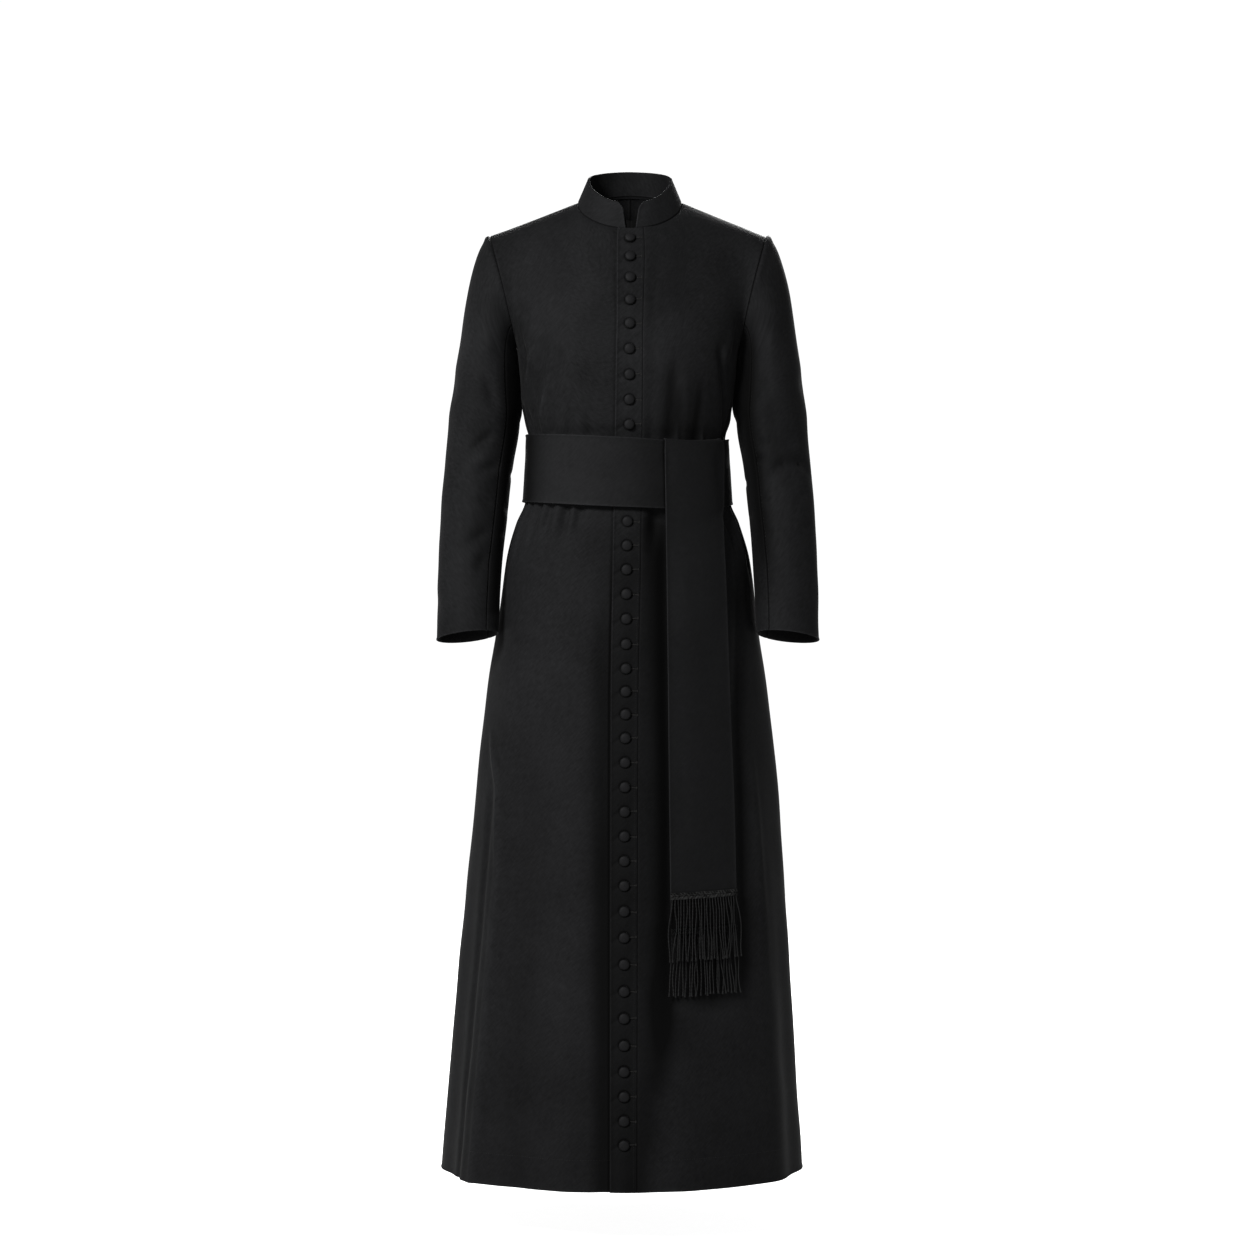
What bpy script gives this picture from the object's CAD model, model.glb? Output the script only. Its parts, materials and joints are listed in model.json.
# %% [markdown]
# # A buttoned cassock with its sash
#
# A cassock is a full-length coat, close in the body and wide at the hem. It closes down the front with a long
# row of small covered buttons, and a broad sash, the fascia, is wound round the waist with two fringed ends.
# The solids that carry the object's sizes are already made, so this lesson dresses them: each stiff wall of
# cloth is replaced by a fine shell with folds, stitches and a woven surface, laid on the very same form.

# %% Load the frame and keep its box
import json
import math

import bmesh
import bpy
import numpy as np
from mathutils import Matrix, Vector

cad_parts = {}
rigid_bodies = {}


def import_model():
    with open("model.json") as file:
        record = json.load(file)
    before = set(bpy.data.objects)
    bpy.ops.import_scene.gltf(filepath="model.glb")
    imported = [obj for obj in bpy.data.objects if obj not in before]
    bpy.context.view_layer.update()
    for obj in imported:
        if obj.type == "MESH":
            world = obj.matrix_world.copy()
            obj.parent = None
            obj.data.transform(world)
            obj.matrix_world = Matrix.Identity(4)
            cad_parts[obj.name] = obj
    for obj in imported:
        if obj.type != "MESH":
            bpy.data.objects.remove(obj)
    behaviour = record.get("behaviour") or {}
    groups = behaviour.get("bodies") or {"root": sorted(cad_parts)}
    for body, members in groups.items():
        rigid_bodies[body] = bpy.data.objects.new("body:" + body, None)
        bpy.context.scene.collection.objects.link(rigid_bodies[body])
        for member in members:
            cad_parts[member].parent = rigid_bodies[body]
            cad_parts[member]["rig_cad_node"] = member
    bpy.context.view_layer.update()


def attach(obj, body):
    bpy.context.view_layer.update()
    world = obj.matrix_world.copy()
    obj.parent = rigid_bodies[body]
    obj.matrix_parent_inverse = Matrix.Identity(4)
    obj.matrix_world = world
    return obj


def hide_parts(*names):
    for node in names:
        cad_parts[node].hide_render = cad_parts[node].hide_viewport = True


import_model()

# %% [markdown]
# ## The sizes of the garment
#
# A tailor works from a short list of measures and draws smooth lines between them. These tables are such a
# list: each row is one level of the body or the sleeve, with its widths and depths in metres. The front faces
# -Y, and an angle round the body is 0 at the centre front and 90 at the wearer's left side.

# %% Sizes of the body
CLOTH = 0.002
SEAM = 0.0003
HEM = -1.487
CHEST = -0.2235
# level, middle_x, half_width, front_depth, back_depth, squareness
BODY = (
    (-0.2235, -0.0030, 0.1715, 0.1240, 0.1210, 2.50),
    (-0.2700, -0.0042, 0.1655, 0.1235, 0.1170, 2.45),
    (-0.3150, -0.0052, 0.1612, 0.1215, 0.1110, 2.40),
    (-0.3450, -0.0050, 0.1560, 0.1185, 0.1075, 2.35),
    (-0.3660, -0.0045, 0.1515, 0.1130, 0.1040, 2.30),
    (-0.4150, -0.0042, 0.1510, 0.1135, 0.1030, 2.30),
    (-0.4640, -0.0042, 0.1580, 0.1155, 0.1080, 2.30),
    (-0.4950, -0.0042, 0.1715, 0.1220, 0.1190, 2.25),
    (-0.5520, -0.0035, 0.1880, 0.1290, 0.1340, 2.20),
    (-0.6300, -0.0038, 0.1980, 0.1390, 0.1440, 2.08),
    (-0.7300, -0.0043, 0.2130, 0.1520, 0.1560, 2.04),
    (-0.8600, -0.0044, 0.2285, 0.1680, 0.1730, 2.00),
    (-1.0200, -0.0060, 0.2428, 0.1880, 0.1960, 2.00),
    (-1.1800, -0.0080, 0.2558, 0.2080, 0.2190, 2.00),
    (-1.3400, -0.0105, 0.2677, 0.2275, 0.2410, 2.00),
    (-1.4870, -0.0126, 0.2786, 0.2460, 0.2600, 2.00),
)
# The skirt's long folds: angle, half_spread, height at the hem, top
FOLDS = (
    (-54.0, 9.0, 0.0085, -0.62),
    (-71.0, 8.0, -0.0060, -0.62),
    (56.0, 8.0, 0.0070, -0.66),
    (71.0, 8.0, -0.0050, -0.66),
    (108.0, 9.0, -0.0070, -0.52),
    (126.0, 9.0, 0.0110, -0.50),
    (146.0, 8.0, -0.0100, -0.50),
    (163.0, 7.0, 0.0090, -0.50),
    (180.0, 7.0, -0.0100, -0.50),
    (-164.0, 7.0, 0.0100, -0.50),
    (-147.0, 8.0, -0.0090, -0.50),
    (-127.0, 9.0, 0.0120, -0.50),
    (-109.0, 8.0, -0.0065, -0.52),
)
FOLD_BEND = 0.6
NECK_HALF_WIDTH, NECK_FRONT, NECK_BACK = 0.0805, 0.0760, 0.0640
NECK_DROP, NECK_RISE = 0.0490, 0.0180
NECK_ANGLE, NECK_STEP = 28.0, 18.0
SLOPE_BEFORE_NECK, SLOPE_BEHIND_NECK, SLOPE_AT_SHOULDER = -0.50, 0.12, -0.15
FULL_AT_NECK, FULL_BEFORE, FULL_BEHIND, FULL_AT_CHEST = 0.55, 0.80, 1.05, 0.95
NECK_WAY = (0.6, -0.8)
ARM_MIDDLE_X = -0.0030
SHOULDER_X, SHOULDER_Y, SHOULDER_LEVEL = 0.2133, 0.0080, -0.0515
UNDERARM_X, UNDERARM_Y = 0.1715, 0.0020
ARMHOLE_FRONT, ARMHOLE_BACK, ARMHOLE_SAG = 0.0670, 0.0700, 0.0020
ARMHOLE_LEAN, ARMHOLE_BLEND, SHOULDER_BLEND = 0.3, 18.0, 0.12
UNDERARM_DEPTH, UNDERARM_BLEND = 0.02, 10.0
# level, free_edge_x, band_seam_x, button_x
FRONT_LINES = (
    (-0.0480, -0.0183, 0.0200, -0.0005),
    (-0.3660, -0.0227, 0.0182, -0.0013),
    (-0.5520, -0.0258, 0.0160, -0.0050),
    (-0.7600, -0.0290, 0.0120, -0.0065),
    (-1.0500, -0.0296, 0.0108, -0.0086),
    (-1.4870, -0.0298, 0.0100, -0.0090),
)
BAND_LIFT = CLOTH + SEAM
UNDERLAP_SHORT, LIFT_FADE = 0.0040, 6.0

# %% Smooth curves through a table
def hermite(a, leave, b, arrive, share):
    """A cubic curve from a to b that leaves and arrives in the given directions."""
    s2, s3 = share**2, share**3
    return (a * (2 * s3 - 3 * s2 + 1) + leave * (s3 - 2 * s2 + share)
            + b * (3 * s2 - 2 * s3) + arrive * (s3 - s2))


def read_table(rows, at):
    """The table's other columns at values of its first one, each column as one array."""
    table = np.array(rows, float)
    table = table[np.argsort(table[:, 0])]
    keys, values = table[:, 0], table[:, 1:]
    at = np.clip(np.asarray(at, float), keys[0], keys[-1])
    i = np.clip(np.searchsorted(keys, at, side="right") - 1, 0, len(keys) - 2)
    steps = np.diff(values, axis=0) / np.diff(keys)[:, None]
    product = steps[:-1] * steps[1:]
    total = np.where(product > 0, steps[:-1] + steps[1:], 1.0)
    slopes = np.vstack([steps[:1], np.where(product > 0, 2 * product / total, 0.0), steps[-1:]])
    span = (keys[i + 1] - keys[i])[..., None]
    share = (at - keys[i])[..., None] / span
    found = hermite(values[i], slopes[i] * span, values[i + 1], slopes[i + 1] * span, share)
    return np.moveaxis(found, -1, 0)


def ease(value):
    """0 below 0, 1 above 1, and a soft step between them."""
    value = np.clip(value, 0.0, 1.0)
    return value * value * (3 - 2 * value)


def xyz(x, y, z):
    """Points from their three coordinates."""
    return np.stack(np.broadcast_arrays(*(np.asarray(c, float) for c in (x, y, z))), axis=-1)


def unit(direction):
    """Directions of length 1."""
    return direction / np.linalg.norm(direction, axis=-1, keepdims=True)


def blend(a, b, share):
    """Between two sets of points or directions."""
    share = np.asarray(share)[..., None]
    return a * (1 - share) + b * share


def turned(angle):
    """Sine and cosine of an angle in degrees."""
    return np.sin(np.radians(angle)), np.cos(np.radians(angle))


waist_half, hem_half = (float(read_table(BODY, level)[1]) for level in (-0.415, HEM))
print("waist half width:", waist_half, "hem half width:", hem_half)

# %% [markdown]
# ## The form of the body
#
# On the real garment the skirt hangs as a rounded tube and the yoke is drawn from the neckline and the
# shoulder seams down to the chest. One could sculpt this by hand. Working it out as a function of an angle
# and a drop (0 at the neckline, 1 at the chest, 2 at the hem) lets every layer, stitch and button find its
# place on the same surface.

# %% The skirt and the yoke
def ring_point(angle, level, middle_x, half_width, front, back, squareness):
    """Points of a rounded ring, and the directions out of it."""
    s, c = turned(angle)
    reach = (np.abs(s) ** squareness + np.abs(c) ** squareness) ** (-1 / squareness)
    depth = np.where(c > 0, front, back)
    point = xyz(middle_x + half_width * s * reach, -depth * c * reach, level)
    return point, unit(xyz(s / half_width, -c / depth, 0))


def fold_height(angle, level):
    """How far the skirt's long folds stand out."""
    total = np.zeros(np.broadcast(angle, level).shape)
    for middle, spread, height, top in FOLDS:
        away = (angle - middle + 180) % 360 - 180
        fallen = np.maximum(0.0, (top - level) / (top - HEM))
        grown = ease(fallen) * FOLD_BEND + fallen * (1 - FOLD_BEND)
        total = total + height * grown * np.exp(-((away / spread) ** 2))
    return total


def skirt_point(angle, level):
    """The body below the arms."""
    point, outward = ring_point(angle, level, *read_table(BODY, level))
    return point + outward * fold_height(angle, level)[..., None]


def neck_point(turn):
    """The collar's seam."""
    s, c = turned(turn)
    return xyz(NECK_HALF_WIDTH * s, -np.where(c > 0, NECK_FRONT, NECK_BACK) * c,
               np.where(c > 0, -NECK_DROP * c, NECK_RISE * c * c))


def armhole_point(side, turn):
    """The armhole: 0 at the shoulder, 90 in front, 180 under the arm."""
    s, c = turned(turn)
    down = (1 - c) / 2
    x = SHOULDER_X + (UNDERARM_X - SHOULDER_X) * down - ARMHOLE_SAG * np.sin(math.pi * down)
    y = SHOULDER_Y + (UNDERARM_Y - SHOULDER_Y) * down - np.where(s > 0, ARMHOLE_FRONT, ARMHOLE_BACK) * s
    return xyz(ARM_MIDDLE_X + x * side, y, SHOULDER_LEVEL + (CHEST - SHOULDER_LEVEL) * down)


def armhole_turn(behind, drop):
    """How far round the armhole a panel's edge is at a drop."""
    short = math.degrees(SEAM / 2 / ARMHOLE_FRONT)
    turn = short + (180 - 2 * short) * drop
    return np.where(behind, 360 - turn, turn)


def sides_of(angle):
    """Which side an angle is on, whether it is behind, and how far it is from the middle plane."""
    behind = np.abs(angle) > 90
    return np.where(angle >= 0, 1.0, -1.0), behind, np.where(behind, 180 - np.abs(angle), np.abs(angle))


def top_of_panel(angle):
    """The neckline or shoulder seam above an angle, and how the cloth leaves it."""
    side, behind, away = sides_of(angle)
    turn = np.minimum(away / NECK_ANGLE, 1.0) * 90
    at_neck = neck_point(np.where(behind, 180 - turn, turn) * side)
    along = np.clip((away - NECK_ANGLE) / (90 - NECK_ANGLE), 0.0, 1.0)
    point = blend(at_neck, xyz(ARM_MIDDLE_X + SHOULDER_X * side, SHOULDER_Y, SHOULDER_LEVEL), along)
    bend = ease(away / NECK_ANGLE)
    forward = np.where(behind, 1.0, -1.0)
    neck_slope = np.where(behind, SLOPE_BEHIND_NECK, SLOPE_BEFORE_NECK)
    level_way = xyz(0.0, forward, neck_slope + (SLOPE_AT_SHOULDER - neck_slope) * along)
    fullness = FULL_AT_NECK + (np.where(behind, FULL_BEHIND, FULL_BEFORE) - FULL_AT_NECK) * bend
    return point, unit(blend(xyz(0.0, forward * NECK_WAY[0], NECK_WAY[1]), level_way, bend)), fullness


def yoke_column(angle, drop):
    """From the neckline or shoulder down to the chest, before the armhole is cut."""
    top, leave, fullness = top_of_panel(angle)
    top = top + leave * SEAM / 2
    chest = skirt_point(angle, np.full_like(angle, CHEST))
    arrive = unit(skirt_point(angle, np.full_like(angle, CHEST - 0.02)) - chest)
    length = np.linalg.norm(chest - top, axis=-1, keepdims=True)
    leave, arrive = leave * length * fullness[..., None], arrive * length * FULL_AT_CHEST
    return hermite(top, leave, chest, arrive, drop[..., None])


def level_of(drop):
    """The level of a drop below the chest."""
    return CHEST + (HEM - CHEST) * np.maximum(drop - 1, 0.0)


def body_point(angle, drop):
    """The whole body: drop 0 is the neckline or shoulder, 1 the chest and 2 the hem."""
    angle, drop = np.broadcast_arrays(np.asarray(angle, float), np.asarray(drop, float))
    side, behind, away = sides_of(angle)
    high = np.minimum(drop, 1.0)
    edge = side * np.where(behind, 90.0001, 90.0)
    pull = armhole_point(side, armhole_turn(behind, high)) - yoke_column(edge, high)
    yoke = yoke_column(angle, high) + pull * ((away / 90) ** 3)[..., None]
    skirt = skirt_point(angle, level_of(drop))
    return np.where((drop >= 1)[..., None], skirt, yoke)


# %% Which way the cloth faces
def slope_of(form, u, v, du=0.02, dv=0.0005):
    """The direction out of a form, from its slopes both ways."""
    across = form(u + du, v) - form(u - du, v)
    down = form(u, v + dv) - form(u, np.maximum(v - dv, 0.0))
    return -unit(np.cross(across, down))


def armhole_outward(side, turn):
    """Out of the cloth at the armhole, for the body and the sleeve alike."""
    s, c = turned(turn)
    return unit(xyz(side * ARMHOLE_LEAN, -s, c))


def body_outward(angle, drop):
    """Out of the body; at a seam it is the same for the pieces on both sides."""
    angle, drop = np.broadcast_arrays(np.asarray(angle, float), np.asarray(drop, float))
    side, behind, away = sides_of(angle)
    level = level_of(drop)
    plain = ring_point(angle, level, *read_table(BODY, level))[1]
    near = ease(1 - np.abs(np.abs(angle) - 90) / UNDERARM_BLEND) * ease(1 - (CHEST - level) / UNDERARM_DEPTH)
    skirt = blend(plain, armhole_outward(side, np.full_like(angle, 180.0)), near)
    high = np.minimum(drop, 1.0)
    inside = np.where(behind, np.maximum(np.abs(angle), 90.1), np.minimum(np.abs(angle), 89.9))
    yoke = slope_of(body_point, side * inside, high)
    yoke = blend(yoke, armhole_outward(side, armhole_turn(behind, high)), ease(1 - (90 - away) / ARMHOLE_BLEND))
    fall = SHOULDER_LEVEL / (SHOULDER_X - NECK_HALF_WIDTH)
    at_seam = ease(1 - high / SHOULDER_BLEND) * ease((away - NECK_ANGLE) / NECK_STEP * 90 / NECK_ANGLE + 1)
    yoke = blend(yoke, unit(xyz(-fall * side, 0.0, 1.0)), at_seam)
    return unit(np.where((drop >= 1)[..., None], skirt, yoke))


def body_at(angle, drop):
    """A point of the body and the direction out of it."""
    return body_point(angle, drop), body_outward(angle, drop)


corner = body_point(np.array([0.0, 90.0, 180.0]), np.array([0.0, 1.0, 2.0]))
print("centre front neck, side of chest and centre back hem:", corner.round(3).tolist())

# %% [markdown]
# ## Folds and creases
#
# Worn cloth is never quite smooth: it is drawn in by the sash, strains a little at the chest and breaks at the
# elbows. A cloth simulation would give other folds on each machine. Here each crease is placed by hand instead,
# as a line from one spot to another with its own width and height, and a height below 0 is a trough. Its two
# fades say over how much of its length it rises and dies away. A roll lowers the cloth on one side of it and
# lifts it on the other, as when cloth tips over; a row without one has none. Rows are in degrees round the
# body, millimetres for levels, widths and heights, and percent of the length for fades.

# %% Creases of the body
# angle_a, level_a, angle_b, level_b, half_width, height, fade_a, fade_b[, roll]
BODY_CREASES = (
    # drawn in above the sash, wearer's left
    (24.2, -374, 24.4, -228, 8.5, -3.8, 2, 45, 0.2),
    (33.4, -378, 31.4, -246, 6, 1.6, 2, 60),
    (41.6, -378, 41.4, -266, 8, -3.6, 2, 55, -0.1),
    (72, -364, 60, -300, 8.5, -4.6, 2, 20),
    (62, -314, 47.5, -222, 7.5, -4.2, 16, 25, 0.3),
    (77, -364, 78, -295, 8.5, -4.5, 2, 80, -0.3),
    (14, -372, 13, -320, 6, -1.6, 2, 80),
    (28.8, -376, 28.2, -338, 3, 2, 2, 80),
    (46.4, -376, 45.6, -350, 3, 1.8, 2, 80),
    # drawn in above the sash, wearer's right
    (-46, -364, -41, -310, 8, -4, 5, 80, 0.3),
    (-57, -364, -54, -310, 8, -4.4, 5, 80, -0.3),
    (-34, -366, -31, -316, 7, -3.6, 5, 80, 0.2),
    (-21, -368, -22.5, -325, 7, -3.4, 5, 80),
    (-67, -362, -66, -310, 8.5, -6, 5, 80, 0.3),
    (-78, -362, -77, -300, 9, -7, 5, 80),
    # strain lines that run down and out from the wearer's right chest
    (-50.5, -222, -57.5, -258, 3.2, 3.4, 50, 15),
    (-56.6, -253, -66.5, -289, 3.2, 3.4, 15, 20),
    (-65, -284, -82, -310, 3.6, 2.6, 25, 40),
    (-42.5, -212, -48.5, -266, 7, -3.4, 50, 10),
    (-48, -260, -54.5, -320, 7, -3.4, 10, 40),
    (-58, -222, -72, -264, 6.5, -2.8, 35, 30),
    (-39, -248, -52.5, -342, 2.6, 1.8, 50, 20),
    (-31.8, -220, -36.5, -298, 5, -2.4, 40, 50),
    (-18, -246, -23, -306, 10, -1.8, 45, 45),
    (-32, -304, -36.5, -356, 2.4, 1.2, 40, 20),
    (-75, -180, -88, -214, 2.6, 1.6, 40, 30),
    # pushed together under the arms
    (-90, -248, -90, -330, 30, 1, 20, 25),
    (90, -248, 90, -330, 30, 2.2, 20, 25),
    (90, -314, 90, -358, 30, 2.4, 50, 45),
    # drag lines across the chest towards the arms
    (-52, -290, -63, -200, 13, 2.6, 45, 45, 0.6),
    (-60, -262, -71, -185, 11, -2.8, 45, 35, 0.5),
    (54, -275, 66, -190, 13, 2.4, 45, 45, -0.6),
    (63, -250, 73, -180, 11, -2.6, 45, 35, -0.5),
    (-18, -205, -30, -160, 20, 1.6, 50, 50, 0.3),
    # gathered below the sash, in front
    (-25, -466, -24, -535, 6.5, -6, 2, 80, 0.2),
    (-33.5, -466, -33, -552, 7, -6.5, 2, 80, -0.3),
    (-43, -466, -42.5, -532, 6.5, -5.6, 2, 80, 0.3),
    (-52.5, -464, -53, -548, 7, -6.3, 2, 80),
    (-62, -464, -64, -570, 7, -6.3, 2, 80, 0.4),
    (-71, -462, -72, -600, 7.5, -6.9, 2, 80, -0.4),
    (-80, -462, -81, -610, 8, -7.5, 2, 80),
    (-29, -466, -28.5, -520, 6.5, 3.2, 2, 80),
    (-38, -466, -37.5, -540, 6.5, 3.5, 2, 80),
    (-47.5, -464, -47.5, -525, 6.5, 3.2, 2, 80),
    (-67, -462, -69, -590, 7, 3.7, 2, 80),
    (16, -472, 10.8, -565, 7.5, -7, 2, 70, 0.4),
    (27, -474, 22, -560, 7, -4.4, 2, 80),
    (60, -472, 61, -560, 7.5, -6.3, 2, 80, 0.3),
    (68, -470, 69, -590, 7.5, 4.4, 2, 80),
    (75, -468, 76, -600, 8, -7.5, 2, 80),
    # long soft folds down the front of the skirt
    (-72, -800, -56.5, -905, 8.5, 4, 50, 15),
    (-58, -890, -51.5, -1030, 8.5, 4, 12, 12),
    (-51.8, -1012, -52, -1495, 8.5, 4, 4, 1),
    (-63, -860, -60.5, -1100, 11, -4, 35, 8),
    (-60.6, -1080, -62, -1495, 11, -4, 5, 1),
    (-38, -700, -34, -1495, 22, -3.6, 50, 1),
    (-20, -560, -17, -1495, 24, 4, 40, 1),
    (-9.4, -520, -5.4, -1495, 12, -4.8, 20, 1),
    (55, -760, 57, -1300, 11, 3.4, 30, 60),
    (24, -1100, 20, -1495, 20, 2.6, 50, 1),
    # the fall of the cloth behind the edges of the sash's ends
    (18.6, -478, 16.2, -800, 12, -8, 5, 12),
    (16.3, -760, 15.2, -1300, 12, -8, 7, 40),
    (62, -560, 47, -800, 11, -5, 30, 16),
    (48.5, -760, 41.5, -1200, 11, -5, 9, 50),
    # drawn in above the sash, behind
    (97, -356, 98, -270, 8.5, -5, 2, 80),
    (110, -356, 107, -245, 9.5, -5.5, 2, 80, 0.3),
    (124, -354, 122, -275, 9, -5, 2, 80),
    (137, -354, 138.5, -230, 10, -5.8, 2, 80, -0.3),
    (151, -354, 150, -262, 9, -4.8, 2, 80, 0.2),
    (165, -354, 166, -280, 8, -4, 2, 80),
    (-168, -354, -167, -250, 9, -5, 2, 80, 0.2),
    (-154, -354, -156, -275, 8.5, -4.8, 2, 80),
    (-141, -354, -139, -236, 10, -6, 2, 80, -0.2),
    (-127, -354, -128.5, -270, 9, -4.8, 2, 80, 0.3),
    (-113, -356, -110, -250, 9.5, -5.5, 2, 80),
    (-99, -356, -99, -275, 8.5, -5, 2, 80),
    # drag lines between the shoulder blades and the back of the armholes
    (152, -120, 122, -165, 18, 2.6, 50, 45, 0.4),
    (-152, -128, -120, -172, 18, 2.8, 50, 45, -0.4),
    (118, -215, 106, -150, 12, -3.4, 45, 30, 0.3),
    (-119, -222, -106, -155, 12, -3.4, 45, 30, -0.3),
    # gathered below the sash, behind
    (96, -455, 96, -585, 8, -6, 2, 80),
    (108, -455, 107, -560, 8, -6, 2, 80, 0.3),
    (119, -455, 120, -610, 8.5, -6.5, 2, 80),
    (131, -455, 133, -575, 8, -6, 2, 80, -0.3),
    (143, -455, 146, -640, 9, -7, 2, 70),
    (155, -455, 155, -560, 8, -5.8, 2, 80, 0.2),
    (167, -455, 169, -600, 8.5, -6.2, 2, 80),
    (-169, -455, -170, -585, 8.5, -6.2, 2, 80),
    (-157, -455, -156, -565, 8, -5.8, 2, 80, -0.3),
    (-145, -455, -147, -630, 9, -7, 2, 70),
    (-133, -455, -132, -560, 8, -6, 2, 80, 0.3),
    (-121, -455, -123, -615, 8.5, -6.5, 2, 80),
    (-109, -455, -108, -570, 8, -6, 2, 80),
    (-97, -455, -97, -590, 8, -6, 2, 80),
    # the small pulls of cloth eased into the collar's seam
    (-4.5, -55, -12, -85, 5, 1.2, 5, 75, 0.5),
    (-8, -52, -19, -80, 5, -1.2, 5, 75, 0.4),
    (9, -52, 17, -78, 5.5, 1.4, 5, 75, -0.5),
    (12.5, -46, 25, -66, 5, -1.2, 5, 75, -0.4),
)


def crease_sum(across, level, scale, creases):
    """The creases' heights added up, in their table's unit; scale turns the first coordinate into metres."""
    total = np.zeros(np.broadcast(across, level).shape)
    scale, level = scale * 1000, level * 1000
    for a, level_a, b, level_b, half_width, height, fade_a, fade_b, *roll in creases:
        along_x, along_z = (b - a) * scale, level_b - level_a
        from_x, from_z = ((across - a + 180) % 360 - 180) * scale, level - level_a
        length = np.sqrt(along_x**2 + along_z**2)
        share = np.clip((from_x * along_x + from_z * along_z) / length**2, 0.0, 1.0)
        aside = (from_x * along_z - from_z * along_x) / length
        past = np.hypot(from_x - share * along_x, from_z - share * along_z)
        profile = np.exp(-((past / half_width) ** 2)) * (1 + sum(roll) * 2 * aside / half_width)
        total += height * profile * ease(share / fade_a * 100) * ease((1 - share) / fade_b * 100)
    return total


def creases_round(angle, points, creases):
    """The same for creases given by their angle round the body."""
    degree_m = np.radians(1.0) * np.hypot(points[..., 0], points[..., 1])
    return crease_sum(angle, points[..., 2], degree_m, creases)


# %% The slight unevenness of hung cloth
# waves per metre across, waves per metre down, phase, height
WAVES = (
    (3.1, 0.9, 0.4, 0.00060),
    (5.3, -1.7, 2.1, 0.00045),
    (8.7, 2.9, 4.4, 0.00030),
    (6.1, 7.3, 1.2, 0.00022),
    (-11.3, 5.9, 3.3, 0.00016),
    (13.9, 9.7, 5.2, 0.00012),
)


def unevenness(across_m, level):
    """A low, wide rippling, the same wherever it is asked for."""
    total = 0.0
    for across_waves, down_waves, phase, height in WAVES:
        total = total + height * np.sin(2 * math.pi * (across_m * across_waves + level * down_waves) + phase)
    return total


BODY_REACH = 0.16
DEGREE_M = math.radians(1.0) * BODY_REACH
CALM_TO, CALM_FADE = -0.02, 0.06


def body_relief(angle, point):
    """How far the cloth of the body stands off its smooth form."""
    level = point[..., 2]
    waves = unevenness(angle * DEGREE_M, level) * ease((CALM_TO - level) / CALM_FADE)
    return creases_round(angle, point, BODY_CREASES) / 1000 + waves


# %% Where the cloth of the body is paler or deeper
# angle_a, level_a, angle_b, level_b, half_width, percent paler, fade_a, fade_b
BODY_WEAR = (
    # deep in the fall beside the band's free edge
    (-10.2, -500, -4.7, -1495, 15, -60, 30, 1),
    (-9, -860, -6, -1495, 16, -26, 25, 1),
    # the band itself, least handled below the sash
    (-0.3, -480, 1.7, -1495, 19, -58, 10, 1),
    # deep in the fold beside the sash's ends, on both sides of them, and behind their fringes
    (15.1, -470, 12, -1360, 17, -94, 4, 20),
    (66, -560, 49, -830, 13, -50, 20, 15),
    (50, -790, 43.5, -1240, 13, -50, 10, 20),
    (44, -1040, 41.5, -1230, 20, -34, 30, 30),
    (28, -1090, 28, -1235, 46, -95, 10, 25),
    (12.6, -1150, 10.6, -1360, 17, -58, 30, 30),
    (11, -1290, 4.6, -1495, 17, -44, 25, 1),
    (19, -1215, 19, -1330, 20, -34, 20, 60),
    # between the long folds and towards the hem
    (-38, -780, -35, -1495, 32, -18, 40, 1),
    (-72, -1480, -8, -1480, 160, -18, 10, 10),
    (14, -1480, 74, -1480, 120, -16, 10, 10),
    (-71, -805, -56.5, -905, 7.5, 40, 50, 15),
    (-58, -890, -51.5, -1030, 7.5, 46, 12, 12),
    (-51.8, -1012, -52, -1495, 7, 40, 4, 1),
    (-62, -900, -62, -1495, 11, -16, 25, 1),
    # drawn in over the sash, wearer's left: deep troughs and the rubbed folds between them
    (23, -374, 23.4, -228, 8, -34, 2, 40),
    (34, -380, 34, -290, 28, -22, 2, 70),
    (28.6, -374, 27.4, -275, 6, -34, 2, 45),
    (46, -374, 42.5, -280, 13, -30, 2, 45),
    (25.6, -376, 26.4, -236, 17, -24, 2, 60),
    (40, -376, 36, -240, 18, -22, 2, 60),
    (28.8, -376, 28.2, -338, 2.6, 60, 2, 80),
    (46.4, -376, 45.6, -350, 2.6, 50, 2, 80),
    # in the shade of the sleeves
    (92, -500, 92, -760, 42, -86, 20, 40),
    (-92, -520, -92, -720, 38, -84, 20, 40),
    (40.4, -374, 40.4, -266, 7, -30, 2, 50),
    (72, -372, 59, -300, 12, -34, 2, 15),
    (61, -312, 46.5, -222, 7.5, -36, 14, 22),
    (78, -366, 80, -230, 20, -26, 2, 50),
    (-82, -366, -83, -250, 16, -26, 2, 50),
    # rubbed and deep beside the strain lines
    (-51, -224, -65, -285, 2.8, 85, 30, 20),
    (-58, -232, -74, -296, 8, -32, 25, 35),
    (-47.5, -246, -53.5, -306, 5.5, -16, 40, 40),
    (-59.5, -224, -70, -260, 6, -16, 35, 35),
    (-41, -266, -52.5, -340, 2.4, 62, 30, 20),
    (-18, -246, -22.5, -304, 10, -14, 45, 45),
    (-76, -182, -88, -214, 2.2, 30, 40, 30),
    # pressed and rubbed on the chest and the thighs
    (-44, -235, -56, -150, 30, 22, 45, 45),
    (-52, -100, -66, -90, 18, 20, 45, 45),
    (9, -300, 13, -170, 26, 18, 45, 45),
    (-30, -560, -28, -800, 40, 12, 45, 45),
    # behind: under the folds
    (119, -560, 117, -1495, 18, -20, 30, 1),
    (153, -600, 155, -1495, 18, -22, 30, 1),
    (-172, -600, -173, -1495, 18, -20, 30, 1),
    (-146, -580, -147, -1495, 18, -22, 30, 1),
    (-110, -560, -109, -1495, 18, -20, 30, 1),
)


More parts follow.
